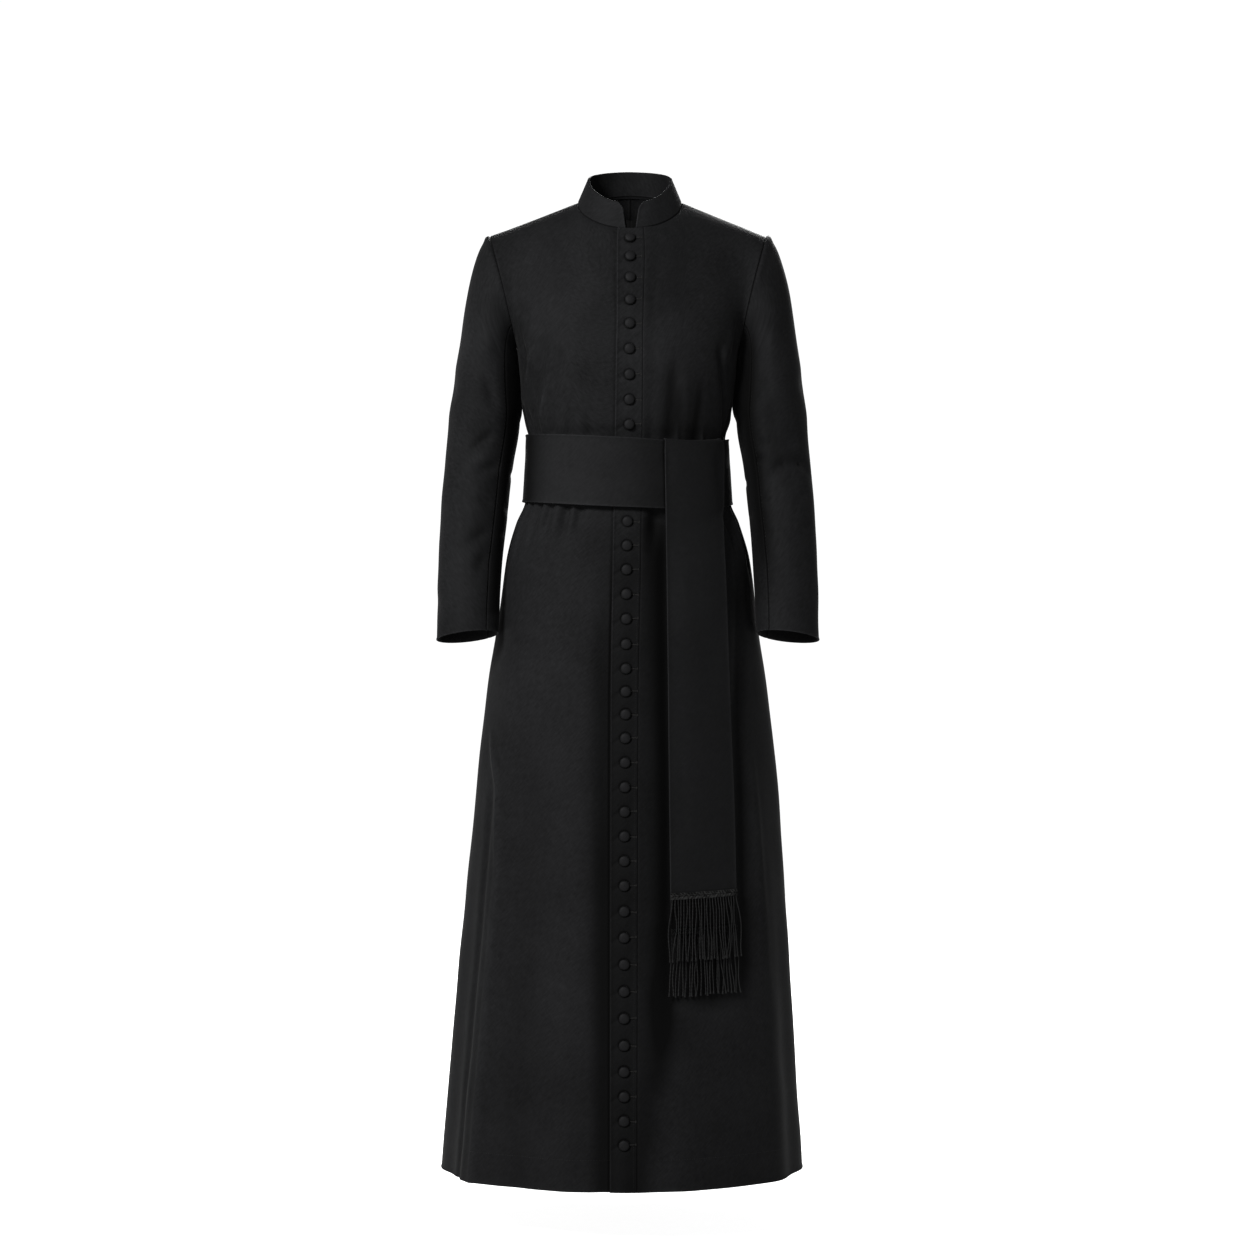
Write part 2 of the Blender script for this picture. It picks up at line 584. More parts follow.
def body_wear(angle, point):
    """How much paler (above 0) or deeper (below 0) the cloth of the body is."""
    return creases_round(angle, point, BODY_WEAR) / 100


print("creases on the body:", len(BODY_CREASES), "worn or deep places:", len(BODY_WEAR))

# %% [markdown]
# ## Laying a wall of cloth on a form
#
# A tailor's panel is flat cloth with turned edges. Here each panel starts as a flat grid, which is extruded
# into a thin slab and then laid on its form, so its faces, its turned edges and its weave directions all come
# from one place. Its map of coordinates is in metres along the cloth, because that is how a weave is
# measured. Solidify could give the wall too, but laying both faces on the form keeps neighbours apart.

# %% A wall of cloth
EDGE_STEPS_M = (0.0, 0.0002, 0.0005, 0.0010, 0.0018, 0.0030)
SEAM_DIP, SEAM_DIP_REACH, SEAM_MEET = 0.0014, 0.0013, 0.0004
TURNED_RISE, TURNED_REACH = 0.0009, 0.0050
# Cloth keeps its deep black along a seam and is rubbed paler on a turned edge
SEAM_DEEP, SEAM_DEEP_REACH, FLAT_SHARE = -0.80, 0.0010, 0.40
EDGE_RUBBED, EDGE_RUBBED_REACH = 0.60, 0.0016


def steps_of(count):
    return count


def shares(count, length):
    """Shares from 0 to 1 in equal steps, with extra lines close to a panel's edges."""
    inner = [i / count for i in range(1, count)]
    start = [step / length for step in EDGE_STEPS_M]
    end = [1 - step / length for step in reversed(EDGE_STEPS_M)]
    return np.array(start + [share for share in inner if start[-1] < share < end[0]] + end)


def lengths_along(points, axis):
    """How far each point of a grid is from its first line, measured along the cloth."""
    steps = np.linalg.norm(np.diff(points, axis=axis), axis=-1)
    start = np.zeros_like(np.take(steps, [0], axis=axis))
    return np.concatenate([start, np.cumsum(steps, axis=axis)], axis=axis)


def round_edge(away, half):
    """How much a wall's face draws in at a distance from its edge, so that the edge is rounded."""
    near = 1 - np.clip(away / half, 0.0, 1.0)
    return 0.85 * half * (1 - np.sqrt(1 - near * near))


def reach_out(points, edge):
    """Moves a sewn edge on until it meets its neighbour's."""
    points = points.copy()
    last, before = {"l": ((slice(None), 0), (slice(None), 1)), "r": ((slice(None), -1), (slice(None), -2)),
                    "t": ((0,), (1,)), "b": ((-1,), (-2,))}[edge]
    points[last] += unit(points[last] - points[before]) * SEAM_MEET
    return points


def lay_cloth(name, columns, rows, form, relief=None, thick=CLOTH, sewn="", turned_edges="", worn=None,
              flat=""):
    """A panel of cloth. columns and rows are shares of its width and its drop; form gives the smooth surface's
    points there and the directions out of it, relief its creases and worn how much paler it is. sewn and
    turned_edges name edges: l, r, t, b; flat names the sewn edges that lie flat under a line of stitches."""
    bm = bmesh.new()
    bmesh.ops.create_grid(bm, x_segments=len(columns) - 1, y_segments=len(rows) - 1, size=0.5)
    grown = bmesh.ops.extrude_face_region(bm, geom=bm.faces[:])
    bmesh.ops.translate(bm, verts=[item for item in grown["geom"] if isinstance(item, bmesh.types.BMVert)],
                        vec=(0, 0, -1))
    bmesh.ops.recalc_face_normals(bm, faces=bm.faces)
    mesh = bpy.data.meshes.new(name)
    bm.to_mesh(mesh)
    bm.free()

    u, v = np.meshgrid(columns, rows)
    points, out = form(u, v)
    for edge in sewn:
        points = reach_out(points, edge)
    across, along = lengths_along(points, 1), lengths_along(points, 0)
    away = {"l": across, "r": across[:, -1:] - across, "t": along, "b": along[-1:] - along}
    lift = relief(u, v, points) if relief else np.zeros(u.shape)
    paler = worn(u, v, points) if worn else np.zeros(u.shape)
    for edge in sewn:
        share = FLAT_SHARE if edge in flat else 1.0
        lift = lift - share * SEAM_DIP * np.exp(-((away[edge] / SEAM_DIP_REACH) ** 2))
        paler = paler + share * SEAM_DEEP * np.exp(-((away[edge] / SEAM_DEEP_REACH) ** 2))
    for edge in turned_edges:
        lift = lift + TURNED_RISE * ease(1 - away[edge] / TURNED_REACH)
        paler = paler + EDGE_RUBBED * np.exp(-((away[edge] / EDGE_RUBBED_REACH) ** 2))
    pull = round_edge(np.minimum.reduce(list(away.values())), thick / 2)
    outer = points + out * (lift - pull)[..., None]
    inner = points + out * (lift - thick + pull)[..., None]

    grid = corners_of(mesh)
    i = np.rint((grid[:, 0] + 0.5) * (len(columns) - 1)).astype(int)
    j = np.rint((grid[:, 1] + 0.5) * (len(rows) - 1)).astype(int)
    placed = np.where((grid[:, 2] < -0.5)[:, None], inner[j, i], outer[j, i])
    mesh.vertices.foreach_set("co", placed.ravel())
    set_cloth_map(mesh, across[j, i], along[j, i])
    mesh.attributes.new("worn", "FLOAT", "POINT").data.foreach_set("value", paler[j, i])
    piece = finish_mesh(mesh)
    piece["cut"] = [float(across[:, -1].max()), float(along[-1].max()), float(grid_area(points))]
    return piece


def finish_mesh(mesh):
    """Faces out, smooth, and an object of the same name in the scene."""
    mesh.update()
    if signed_volume(mesh) < 0:
        mesh.flip_normals()
    mesh.shade_smooth()
    piece = bpy.data.objects.new(mesh.name, mesh)
    bpy.context.scene.collection.objects.link(piece)
    return piece


def corners_of(mesh):
    """The mesh's vertices as one array."""
    corners = np.zeros(len(mesh.vertices) * 3)
    mesh.vertices.foreach_get("co", corners)
    return corners.reshape(-1, 3)


def set_cloth_map(mesh, across, along):
    """The piece's map: metres across and along the cloth."""
    loops = np.zeros(len(mesh.loops), int)
    mesh.loops.foreach_get("vertex_index", loops)
    uv = np.stack([across[loops], along[loops]], axis=1)
    mesh.uv_layers.new(name="cloth").data.foreach_set("uv", uv.ravel())


def signed_volume(mesh):
    """The mesh's volume, below 0 if its faces point in."""
    mesh.calc_loop_triangles()
    triangles = np.zeros(len(mesh.loop_triangles) * 3, int)
    mesh.loop_triangles.foreach_get("vertices", triangles)
    a, b, c = corners_of(mesh)[triangles.reshape(-1, 3)].transpose(1, 0, 2)
    return float((a * np.cross(b, c)).sum() / 6)


def grid_area(points):
    """The area of a grid of points."""
    across, down = np.diff(points, axis=1)[:-1], np.diff(points, axis=0)[:, :-1]
    return np.linalg.norm(np.cross(across, down), axis=-1).sum()


def show(piece, slot, *nodes):
    """Lets a finished piece ride with the garment, stand for its solids and take its finish's slot."""
    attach(piece, "root")
    if nodes:
        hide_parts(*nodes)
    return piece


# %% [markdown]
# ## The fronts, the backs and the button band
#
# The left front laps over the right one. Its edge is turned and stitched down as a band that carries the
# buttonholes, so the band is a strip of its own here, and the left front starts at the line of stitches. The
# right front runs on beneath it. The bodice is sewn to the skirt under the sash, where the seam is covered.

# %% Panels of the body
WAIST = -0.415
KINK_SPREAD, KINK_REACH, KINK_EASE, KINK_DROPS = 5.0, 9.0, 0.6, (0.1, 0.3)
WAIST_DROP = 1 + (WAIST - CHEST) / (HEM - CHEST)
WAIST_GAP = SEAM / 2 / (CHEST - HEM)
SEAM_ANGLE = math.degrees(SEAM / 2 / BODY[0][2])
YOKE_M = 0.25
PANEL_COLUMNS = {"front_bodice": 124, "front_skirt": 76, "back_bodice": 60, "back_skirt": 52}
PANEL_M, UNDER_BAND_M = 0.30, 0.40
# Where the band's free edge crosses the right front's grid, and the dip and the deep line beside that edge
LAPPED_FROM, LAPPED_STEPS_M = 0.90, (-0.0060, -0.0040, -0.0030, -0.0022, -0.0015, -0.0008, 0.0, 0.0010)
LAP_AT, LAP_REACH, LAP_DIP, LAP_DEEP = -0.0010, 0.0016, 0.0014, -0.80
LAP_FAINT, LAP_FAINT_TO, LAP_FADE = 0.30, -0.46, 0.25
ROW_M = 0.005


def front_angle(column, drop):
    """The angle of one of the front's lines (0 free edge, 1 band seam, 2 buttons) at a drop."""
    drop = np.asarray(drop, float)
    level = level_of(drop)
    middle_x, half_width, _, _, squareness = read_table(BODY, level)
    across = (read_table(FRONT_LINES, level)[column] - middle_x) / half_width
    below = np.degrees(np.arctan(across / (1 - np.abs(across) ** squareness) ** (1 / squareness)))
    at_neck = math.degrees(math.asin(FRONT_LINES[0][1 + column] / NECK_HALF_WIDTH)) / 90 * NECK_ANGLE
    return at_neck + (below - at_neck) * np.minimum(drop, 1.0)


def band_seam(drop):
    """The angle of the seam between the band and the left front."""
    return front_angle(1, drop)


def fallen(drop):
    """How many metres of cloth lie above a drop."""
    return YOKE_M * np.minimum(drop, 1.0) + (CHEST - HEM) * np.maximum(drop - 1, 0.0)


def drop_after(metres):
    """The drop that has so many metres of cloth above it."""
    return np.minimum(metres / YOKE_M, 1.0) + np.maximum(metres - YOKE_M, 0.0) / (CHEST - HEM)


def body_panel(name, start, end, start_drop, end_drop, columns, lift=None, sewn="", turned_edges="",
               relief=body_relief, coarse=1.0, lapped=False, flat="", wear=body_wear):
    """A panel of the body between two edges, whose angles change with the drop. A lapped one runs on under
    the band, and one line of its grid follows the band's free edge."""
    first, last = fallen(start_drop), fallen(end_drop)

    def spot(u, v):
        drop = drop_after(first + (last - first) * v)
        if lapped:
            line = front_angle(0, drop)
            outside, under = u / LAPPED_FROM, (u - LAPPED_FROM) / (1 - LAPPED_FROM)
            return np.where(u < LAPPED_FROM, start(drop) + (line - start(drop)) * outside,
                            line + (end(drop) - line) * under), drop
        return start(drop) + (end(drop) - start(drop)) * u, drop

    def beside_band(angle, drop, points):
        if not lapped:
            return np.zeros(angle.shape)
        away = (angle - front_angle(0, drop)) * np.radians(1.0) * np.hypot(points[..., 0], points[..., 1])
        below = ease((LAP_FAINT_TO - points[..., 2]) / LAP_FADE)
        return np.exp(-(((away - LAP_AT) / LAP_REACH) ** 2)) * (LAP_FAINT + (1 - LAP_FAINT) * below)

    def form(u, v):
        angle, drop = spot(u, v)
        outward = body_outward(angle, drop)
        raised = lift(angle, drop) if lift else np.zeros(u.shape)
        short = np.where(drop == 0, 0.8, 0.0)[..., None] * top_of_panel(angle)[1]
        beside = body_point(angle - KINK_SPREAD, drop) + body_point(angle + KINK_SPREAD, drop)
        near = KINK_EASE * np.exp(-(((np.abs(angle) - NECK_ANGLE) / KINK_REACH) ** 2))
        near = near * ease(drop / KINK_DROPS[0]) * ease((1 - drop) / KINK_DROPS[1])
        eased = blend(body_point(angle, drop), beside / 2, near)
        return eased + (outward + short) * raised[..., None], outward

    def creased(u, v, points):
        angle, drop = spot(u, v)
        return relief(angle, points) - LAP_DIP * beside_band(angle, drop, points)

    def worn(u, v, points):
        angle, drop = spot(u, v)
        return wear(angle, points) + LAP_DEEP * beside_band(angle, drop, points)

    rows = shares(round((last - first) / ROW_M / coarse), last - first)
    return lay_cloth(name, columns, rows, form, creased, sewn=sewn, turned_edges=turned_edges, worn=worn,
                     flat=flat)


def left_lift(angle, drop):
    """The left front rises on to the band's turned edge."""
    return BAND_LIFT * (1 - ease((angle - band_seam(drop)) / LIFT_FADE))


PANELS = {
    "front_right": (lambda d: -90 + np.where(d >= 1, SEAM_ANGLE, 0.0),
                    lambda d: band_seam(d) - math.degrees(UNDERLAP_SHORT / BODY[0][3]), None, "l", "r"),
    "front_left": (lambda d: band_seam(d) + SEAM_ANGLE,
                   lambda d: 90 - np.where(d >= 1, SEAM_ANGLE, 0.0), left_lift, "lr", ""),
    "back_left": (lambda d: 90.001 + np.where(d >= 1, SEAM_ANGLE, 0.0),
                  lambda d: 180 - SEAM_ANGLE + 0 * d, None, "lr", ""),
    "back_right": (lambda d: -180 + SEAM_ANGLE + 0 * d,
                   lambda d: -90.001 - np.where(d >= 1, SEAM_ANGLE, 0.0), None, "lr", ""),
}
PARTS = (("bodice", 0.0, WAIST_DROP - WAIST_GAP, ""), ("skirt", WAIST_DROP + WAIST_GAP, 2.0, "b"))
for word, (start, end, lift, sewn, turned_edges) in PANELS.items():
    for part, first, last, hem in PARTS:
        columns = shares(steps_of(PANEL_COLUMNS[word.split("_")[0] + "_" + part]), PANEL_M)
        lapped = word == "front_right"
        if lapped:
            beside_edge = [LAPPED_FROM + step / UNDER_BAND_M for step in LAPPED_STEPS_M]
            columns = np.unique(np.append(columns, beside_edge))
        piece = body_panel(f"cloth_{word}_{part}", start, end, first, last, columns, lift, sewn + "t",
                           turned_edges + hem, lapped=lapped, flat="l" if word == "front_left" else "")
        show(piece, "cassock_cloth", f"{word}_{part}")

# %% Where the buttons sit
# number, level
BUTTON_LEVELS = (
    (1.0, -0.0653),
    (2.0, -0.0945),
    (5.0, -0.1975),
    (7.0, -0.2743),
    (9.0, -0.3494),
    (13.0, -0.4960),
    (16.0, -0.6056),
    (19.0, -0.7177),
    (21.0, -0.7859),
    (25.0, -0.9307),
    (29.0, -1.0775),
    (32.0, -1.1948),
    (35.0, -1.3119),
    (38.0, -1.4185),
)
BUTTONS = 38


def drop_at(column, level):
    """The drop at which one of the front's lines reaches each level."""
    low, high = np.zeros(np.shape(level)), np.full(np.shape(level), 2.0)
    for _ in range(40):
        middle = (low + high) / 2
        above = body_point(front_angle(column, middle), middle)[..., 2] > level
        low, high = np.where(above, middle, low), np.where(above, high, middle)
    return low


button_levels = read_table(BUTTON_LEVELS, np.arange(1, BUTTONS + 1))[0]
button_drops = drop_at(2, button_levels)
button_angles = front_angle(2, button_drops)
button_places = body_point(button_angles, button_drops)
print("buttons from", button_levels[0], "to", button_levels[-1])

# %% The button band
DIMPLE, DIMPLE_REACH = 0.0012, 0.0090
PULL_DEPTH, PULL_AT, PULL_SLOPE = 0.0013, (-0.0125, -0.0040), 0.55
PULL_REACH, PULL_HALF_WIDTH = 0.0090, 0.0036
SWELL, SWELL_AT, SWELL_REACH = 0.0009, (0.0030, -0.0140), 0.0090
RING_DEEP, RING_REACH, RING_FADE = -0.80, 0.0108, 0.0022
HOLE_DEEP, HOLE_MIDDLE, HOLE_REACH, HOLE_SHADE = -0.45, 0.0125, 0.0060, 0.0018


def band_relief(angle, points):
    """The band dips under each button, swells below it and pulls aslant between its edge and the button."""
    x, _, z = np.moveaxis(points[..., None, :] - button_places, -1, 0)
    dips = DIMPLE * np.exp(-(x**2 + z**2) / DIMPLE_REACH**2)
    along, across = x - PULL_AT[0], z - PULL_AT[1] - PULL_SLOPE * (x - PULL_AT[0])
    pulls = PULL_DEPTH * np.exp(-((along / PULL_REACH) ** 2 + (across / PULL_HALF_WIDTH) ** 2))
    swells = SWELL * np.exp(-((x - SWELL_AT[0]) ** 2 + (z - SWELL_AT[1]) ** 2) / SWELL_REACH**2)
    return body_relief(angle, points) + (swells - dips - pulls).sum(-1)


def band_wear(angle, points):
    """Deep black where the cloth is hidden from the light round each button."""
    away = points[..., None, :] - button_places
    rings = RING_DEEP * ease((RING_REACH - np.linalg.norm(away, axis=-1)) / RING_FADE)
    x, _, z = np.moveaxis(away, -1, 0)
    holes = HOLE_DEEP * np.exp(-(((x - HOLE_MIDDLE) / HOLE_REACH) ** 2 + (z / HOLE_SHADE) ** 2))
    return body_wear(angle, points) + (rings + holes).sum(-1)


band = body_panel("cloth_button_band", lambda d: front_angle(0, d), lambda d: band_seam(d) - SEAM_ANGLE / 2,
                  0.0, 2.0, shares(32, 0.042), lambda a, d: np.full(np.shape(a), BAND_LIFT), "rt", "lb",
                  band_relief, 0.32, flat="r", wear=band_wear)
show(band, "cassock_cloth", "button_band")

# %% [markdown]
# ## The sleeves
#
# A cassock's sleeve is cut in two pieces: a wide upper one, and a narrow under one that lies against the body.
# Both bend forward with the arm. The head of the sleeve is eased into the armhole and stands up a little along
# that seam. Cloth pushes together in front of the elbow and stretches over its point, so the creases there are
# short and sharp in front and long and shallow behind.

# %% The form of the sleeves
# level, middle_x, middle_y, half_width, half_depth
SLEEVE = (
    (-0.2450, 0.2188, 0.0030, 0.0457, 0.0690),
    (-0.2900, 0.2208, 0.0060, 0.0502, 0.0680),
    (-0.3354, 0.2220, 0.0080, 0.0547, 0.0650),
    (-0.3972, 0.2297, 0.0040, 0.0528, 0.0610),
    (-0.4590, 0.2358, -0.0060, 0.0519, 0.0580),
    (-0.5208, 0.2399, -0.0190, 0.0500, 0.0540),
    (-0.5827, 0.2437, -0.0360, 0.0476, 0.0505),
    (-0.6700, 0.2450, -0.0570, 0.0469, 0.0480),
)
SLEEVE_SEAM = 131.0
CROWN_LEAVE, UNDER_LEAVE, CAP_BLEND, CAP_FULL = (0.90, -0.43), (0.80, -0.60), 0.25, (0.5, 0.9)
CUFF_SLANT_OUT, CUFF_SLANT_FRONT, CUFF_SLANT_TOP = 0.12, 0.17, -0.45
FIRST_RING, CUFF = SLEEVE[0][0], SLEEVE[-1][0]
HEAD_ROPE, HEAD_ROPE_AT, HEAD_ROPE_REACH = 0.0036, 0.0060, 0.0055


def sleeve_ring(side, turn, level):
    """A ring of the sleeve: 0 on the outside of the arm, 90 in front, 180 against the body."""
    middle_x, middle_y, half_width, half_depth = read_table(SLEEVE, level)
    s, c = turned(turn)
    fade = ease((CUFF_SLANT_TOP - level) / (CUFF_SLANT_TOP - CUFF))
    slant = (-CUFF_SLANT_OUT * half_width * c + CUFF_SLANT_FRONT * half_depth * s) * fade
    return xyz(ARM_MIDDLE_X + side * (middle_x + half_width * c), middle_y - half_depth * s, level + slant)


def sleeve_point(side, turn, drop):
    """The sleeve's form: drop 0 is the armhole, 1 the first ring under it and 2 the cuff."""
    turn, drop = np.broadcast_arrays(np.asarray(turn, float), np.asarray(drop, float))
    arm = sleeve_ring(side, turn, FIRST_RING + (CUFF - FIRST_RING) * np.maximum(drop - 1, 0.0))
    start, end = armhole_point(side, turn), sleeve_ring(side, turn, np.full_like(turn, FIRST_RING))
    under = (1 - turned(turn)[1]) / 2
    away = CROWN_LEAVE[0] + (UNDER_LEAVE[0] - CROWN_LEAVE[0]) * under
    down = CROWN_LEAVE[1] + (UNDER_LEAVE[1] - CROWN_LEAVE[1]) * under
    leave = unit(xyz(side * away, 0.0, down))
    arrive = unit(sleeve_ring(side, turn, np.full_like(turn, FIRST_RING - 0.02)) - end)
    length = np.linalg.norm(end - start, axis=-1, keepdims=True)
    lean = (SHOULDER_X - UNDERARM_X) / (SHOULDER_LEVEL - CHEST)
    start = start + unit(xyz(side, 0.0, -lean)) * 1.5 * SEAM
    share = np.minimum(drop, 1.0)[..., None]
    cap = hermite(start, leave * length * CAP_FULL[0], end, arrive * length * CAP_FULL[1], share)
    return np.where((drop >= 1)[..., None], arm, cap)


def sleeve_outward(side, turn, drop):
    """Out of a sleeve."""
    turn, drop = np.broadcast_arrays(np.asarray(turn, float), np.asarray(drop, float))
    slope = slope_of(lambda t, d: sleeve_point(side, t, d), turn, np.maximum(drop, 0.02)) * -side
    return unit(blend(slope, armhole_outward(side, turn), ease(1 - drop / CAP_BLEND)))


def sleeve_at(side, turn, drop):
    """A point of a sleeve and the direction out of it."""
    return sleeve_point(side, turn, drop), sleeve_outward(side, turn, drop)


# %% Creases of the sleeves
# angle_a, level_a, angle_b, level_b, half_width, height, fade_a, fade_b[, roll]
RIGHT_CREASES = (
    # in front of the elbow
    (58, -396, 118, -350, 8.5, -5, 55, 40, 0.4),
    (56, -383, 112, -338, 17, -2.8, 50, 40),
    (30, -408, 78, -402, 10, -2.6, 45, 50, 0.4),
    (72, -420, 134, -406, 8, -4.6, 55, 30, 0.3),
    (70, -404, 128, -390, 11, 2.6, 50, 50),
    (22, -452, 84, -436, 12, -2.2, 50, 50, 0.4),
    (92, -452, 128, -470, 6, -2.8, 50, 40, 0.3),
    (72, -530, 128, -504, 8.2, -4.6, 55, 40, 0.4),
    (70, -515, 124, -488, 14, -2.2, 50, 40),
    (96, -575, 124, -540, 11, -2.8, 50, 40, 0.3),
    (40, -486, 84, -476, 10, 1.8, 50, 50, 0.3),
    (-8, -600, 36, -640, 13, -1.8, 45, 45),
    # below the shoulder
    (6, -250, 40, -320, 15, -2, 50, 50, 0.4),
    (92, -262, 118, -330, 10, -4, 45, 45, 0.3),
    (84, -200, 104, -262, 13, 2.4, 50, 50),
    # behind
    (-74, -262, -118, -312, 9, -3.4, 45, 45, 0.3),
    (-48, -300, -96, -356, 11, -2.8, 45, 45, 0.5),
    (-30, -372, -78, -398, 11, -2.4, 45, 45),
    (-52, -452, -120, -424, 9, -3.6, 45, 40, 0.5),
    (-62, -500, -124, -470, 8.5, -3.2, 45, 40, -0.4),
    (-80, -548, -132, -536, 9, -2.2, 45, 40, 0.3),
    # against the body
    (162, -425, 198, -418, 5, -1.8, 30, 30),
    (150, -468, 190, -480, 5, -1.8, 30, 30, 0.2),
    (146, -515, 184, -508, 5, -1.6, 30, 30),
)
LEFT_CREASES = (
    # the arched break in front of the elbow
    (120, -436, 84, -400, 8.2, -4.4, 60, 10, -0.3),
    (87, -402, 46, -398, 8.8, -4.6, 9, 9, -0.3),
    (49, -398, 16, -416, 8.5, -3.6, 10, 70, -0.3),
    (104, -436, 66, -418, 10, 2.6, 50, 20),
    (72, -420, 34, -422, 10, 2.4, 20, 60),
    (88, -378, 44, -372, 14, -2.4, 50, 50),
    (126, -374, 92, -380, 7, -3.4, 30, 55, 0.3),
    (134, -400, 112, -398, 5, -3, 30, 50, 0.2),
    (74, -472, 26, -440, 8.5, -3.4, 60, 50, 0.4),
    (62, -452, 22, -424, 11, 2.2, 50, 50),
    (64, -512, 26, -494, 8, -2.6, 55, 45, 0.4),
    (130, -455, 106, -470, 5.5, -2.8, 35, 55, 0.2),
    (128, -520, 104, -506, 6, -2.4, 35, 55, 0.3),
    (40, -560, 80, -548, 11, -1.8, 50, 50, 0.3),
    (10, -606, 52, -590, 13, -1.8, 45, 45),
    # below the shoulder
    (-2, -256, 30, -310, 15, -2, 50, 50, -0.4),
    (96, -262, 120, -330, 10, -4.2, 45, 45),
    (82, -190, 100, -262, 13, 2.4, 50, 50, 0.3),
    # behind
    (-78, -256, -120, -300, 9, -3.4, 45, 45),
    (-44, -312, -100, -362, 11, -2.8, 45, 45, -0.5),
    (-36, -380, -84, -410, 10.5, -2.4, 45, 45, 0.3),
    (-56, -462, -122, -436, 9, -3.8, 45, 40, 0.5),
    (-66, -508, -126, -486, 8.5, -3, 45, 40, -0.4),
    (-76, -560, -130, -540, 9, -2, 45, 40),
    # against the body
    (160, -436, 198, -430, 5, -1.8, 30, 30, 0.2),
    (148, -478, 188, -492, 5, -1.6, 30, 30),
    (146, -525, 186, -520, 5, -1.5, 30, 30),
)
# angle_a, level_a, angle_b, level_b, half_width, percent paler, fade_a, fade_b
RIGHT_WEAR = (
    (112, -390, 116, -600, 18, -30, 30, 30),
    (138, -220, 134, -400, 12, -60, 30, 30),
    (108, -160, 112, -370, 17, 46, 30, 30),
    (42, -300, 42, -500, 20, 16, 30, 30),
    (66, -388, 118, -345, 20, -34, 50, 40),
    (76, -518, 126, -496, 12, -26, 50, 40),
    (92, -560, 122, -545, 14, -22, 50, 40),
    (152, -240, 152, -640, 17, -86, 20, 2),
    (40, -140, 46, -340, 30, 12, 40, 40),
    (-60, -430, -110, -450, 18, -20, 40, 40),
)
LEFT_WEAR = (
    (133, -170, 132, -620, 16, -92, 15, 25),
    (98, -260, 92, -460, 11, -36, 30, 30),
    (165, -220, 165, -640, 20, -45, 15, 10),
    (100, -404, 26, -392, 13, -26, 50, 40),
    (78, -418, 34, -420, 11, 14, 40, 40),
    (40, -450, 40, -620, 15, -14, 40, 40),
    (-60, -430, -110, -450, 18, -20, 40, 40),
)
SLEEVE_REACH, SLEEVE_DEGREE_M = 0.05, math.radians(1.0) * 0.052
# Cloth bunches between the arm and the body: level, on the right sleeve, on the left sleeve
UNDERARM_FULLNESS = (
    (-0.2180, 0.0000, 0.0000),
    (-0.2235, 0.0010, 0.0040),
    (-0.2270, 0.0024, 0.0058),
    (-0.2350, 0.0041, 0.0066),
    (-0.2450, 0.0048, 0.0061),
    (-0.2550, 0.0052, 0.0070),
    (-0.2650, 0.0050, 0.0068),
    (-0.2850, 0.0050, 0.0078),
    (-0.3050, 0.0046, 0.0082),
    (-0.3140, 0.0042, 0.0076),
    (-0.3260, 0.0030, 0.0050),
    (-0.3400, 0.0000, 0.0000),
    (-0.5000, 0.0000, 0.0000),
    (-0.5800, 0.0010, 0.0030),
    (-0.6300, 0.0014, 0.0026),
    (-0.6700, 0.0010, 0.0010),
)
FULLNESS_DEGREES = 40.0


def sleeve_relief(side, turn, point):
    """How far a sleeve's cloth stands off its smooth form; turn is 0 outside and 90 in front."""
    level = point[..., 2]
    creases = crease_sum(turn, level, SLEEVE_DEGREE_M, RIGHT_CREASES if side < 0 else LEFT_CREASES) / 1000
    full = read_table(UNDERARM_FULLNESS, level)[0 if side < 0 else 1]
    creases += full * np.exp(-((((turn + 360) % 360 - 180) / FULLNESS_DEGREES) ** 2))
    return creases + unevenness(np.cos(np.radians(turn)) * SLEEVE_REACH + side * 0.4, level * 1.5)


def sleeve_wear(side, turn, point):
    """How much paler or deeper a sleeve's cloth is."""
    return crease_sum(turn, point[..., 2], SLEEVE_DEGREE_M, RIGHT_WEAR if side < 0 else LEFT_WEAR) / 100


def head_rope(away, turn):
    """The sleeve's head stands up along the armhole's seam, most at the top."""
    shape = np.exp(-(((away - HEAD_ROPE_AT) / HEAD_ROPE_REACH) ** 2))
    return HEAD_ROPE * shape * ease((100 - np.abs((turn + 180) % 360 - 180)) / 70)


# %% The four sleeve pieces
CAP_SHARE, SLEEVE_M = 0.28, 0.58


def sleeve_piece(name, side, first_turn, last_turn, columns):
    """One piece of a sleeve between two turns round the arm."""
    def turn_at(u):
        return first_turn + (last_turn - first_turn) * u

    def relief(u, v, points):
        away = lengths_along(points, 0)
        return sleeve_relief(side, turn_at(u), points) + head_rope(away, turn_at(u))

    def form(u, v):
        drop = np.minimum(v / CAP_SHARE, 1.0) + np.maximum(v - CAP_SHARE, 0.0) / (1 - CAP_SHARE)
        return sleeve_at(side, turn_at(u), drop)

    return lay_cloth(name, columns, shares(round(SLEEVE_M / ROW_M), SLEEVE_M), form, relief, sewn="lrt",
                     turned_edges="b", worn=lambda u, v, points: sleeve_wear(side, turn_at(u), points))


sleeve_gap = math.degrees(SEAM / SLEEVE[1][3])
for side, word in ((-1, "right"), (1, "left")):
    upper = sleeve_piece(f"cloth_sleeve_upper_{word}", side, -SLEEVE_SEAM + sleeve_gap, SLEEVE_SEAM - sleeve_gap,
                         shares(steps_of(68), 0.26))
    under = sleeve_piece(f"cloth_sleeve_under_{word}", side, SLEEVE_SEAM + sleeve_gap,
                         360 - SLEEVE_SEAM - sleeve_gap, shares(steps_of(24), 0.09))
    for part, piece in (("upper", upper), ("under", under)):
        show(piece, "cassock_cloth", f"sleeve_{part}_{word}")

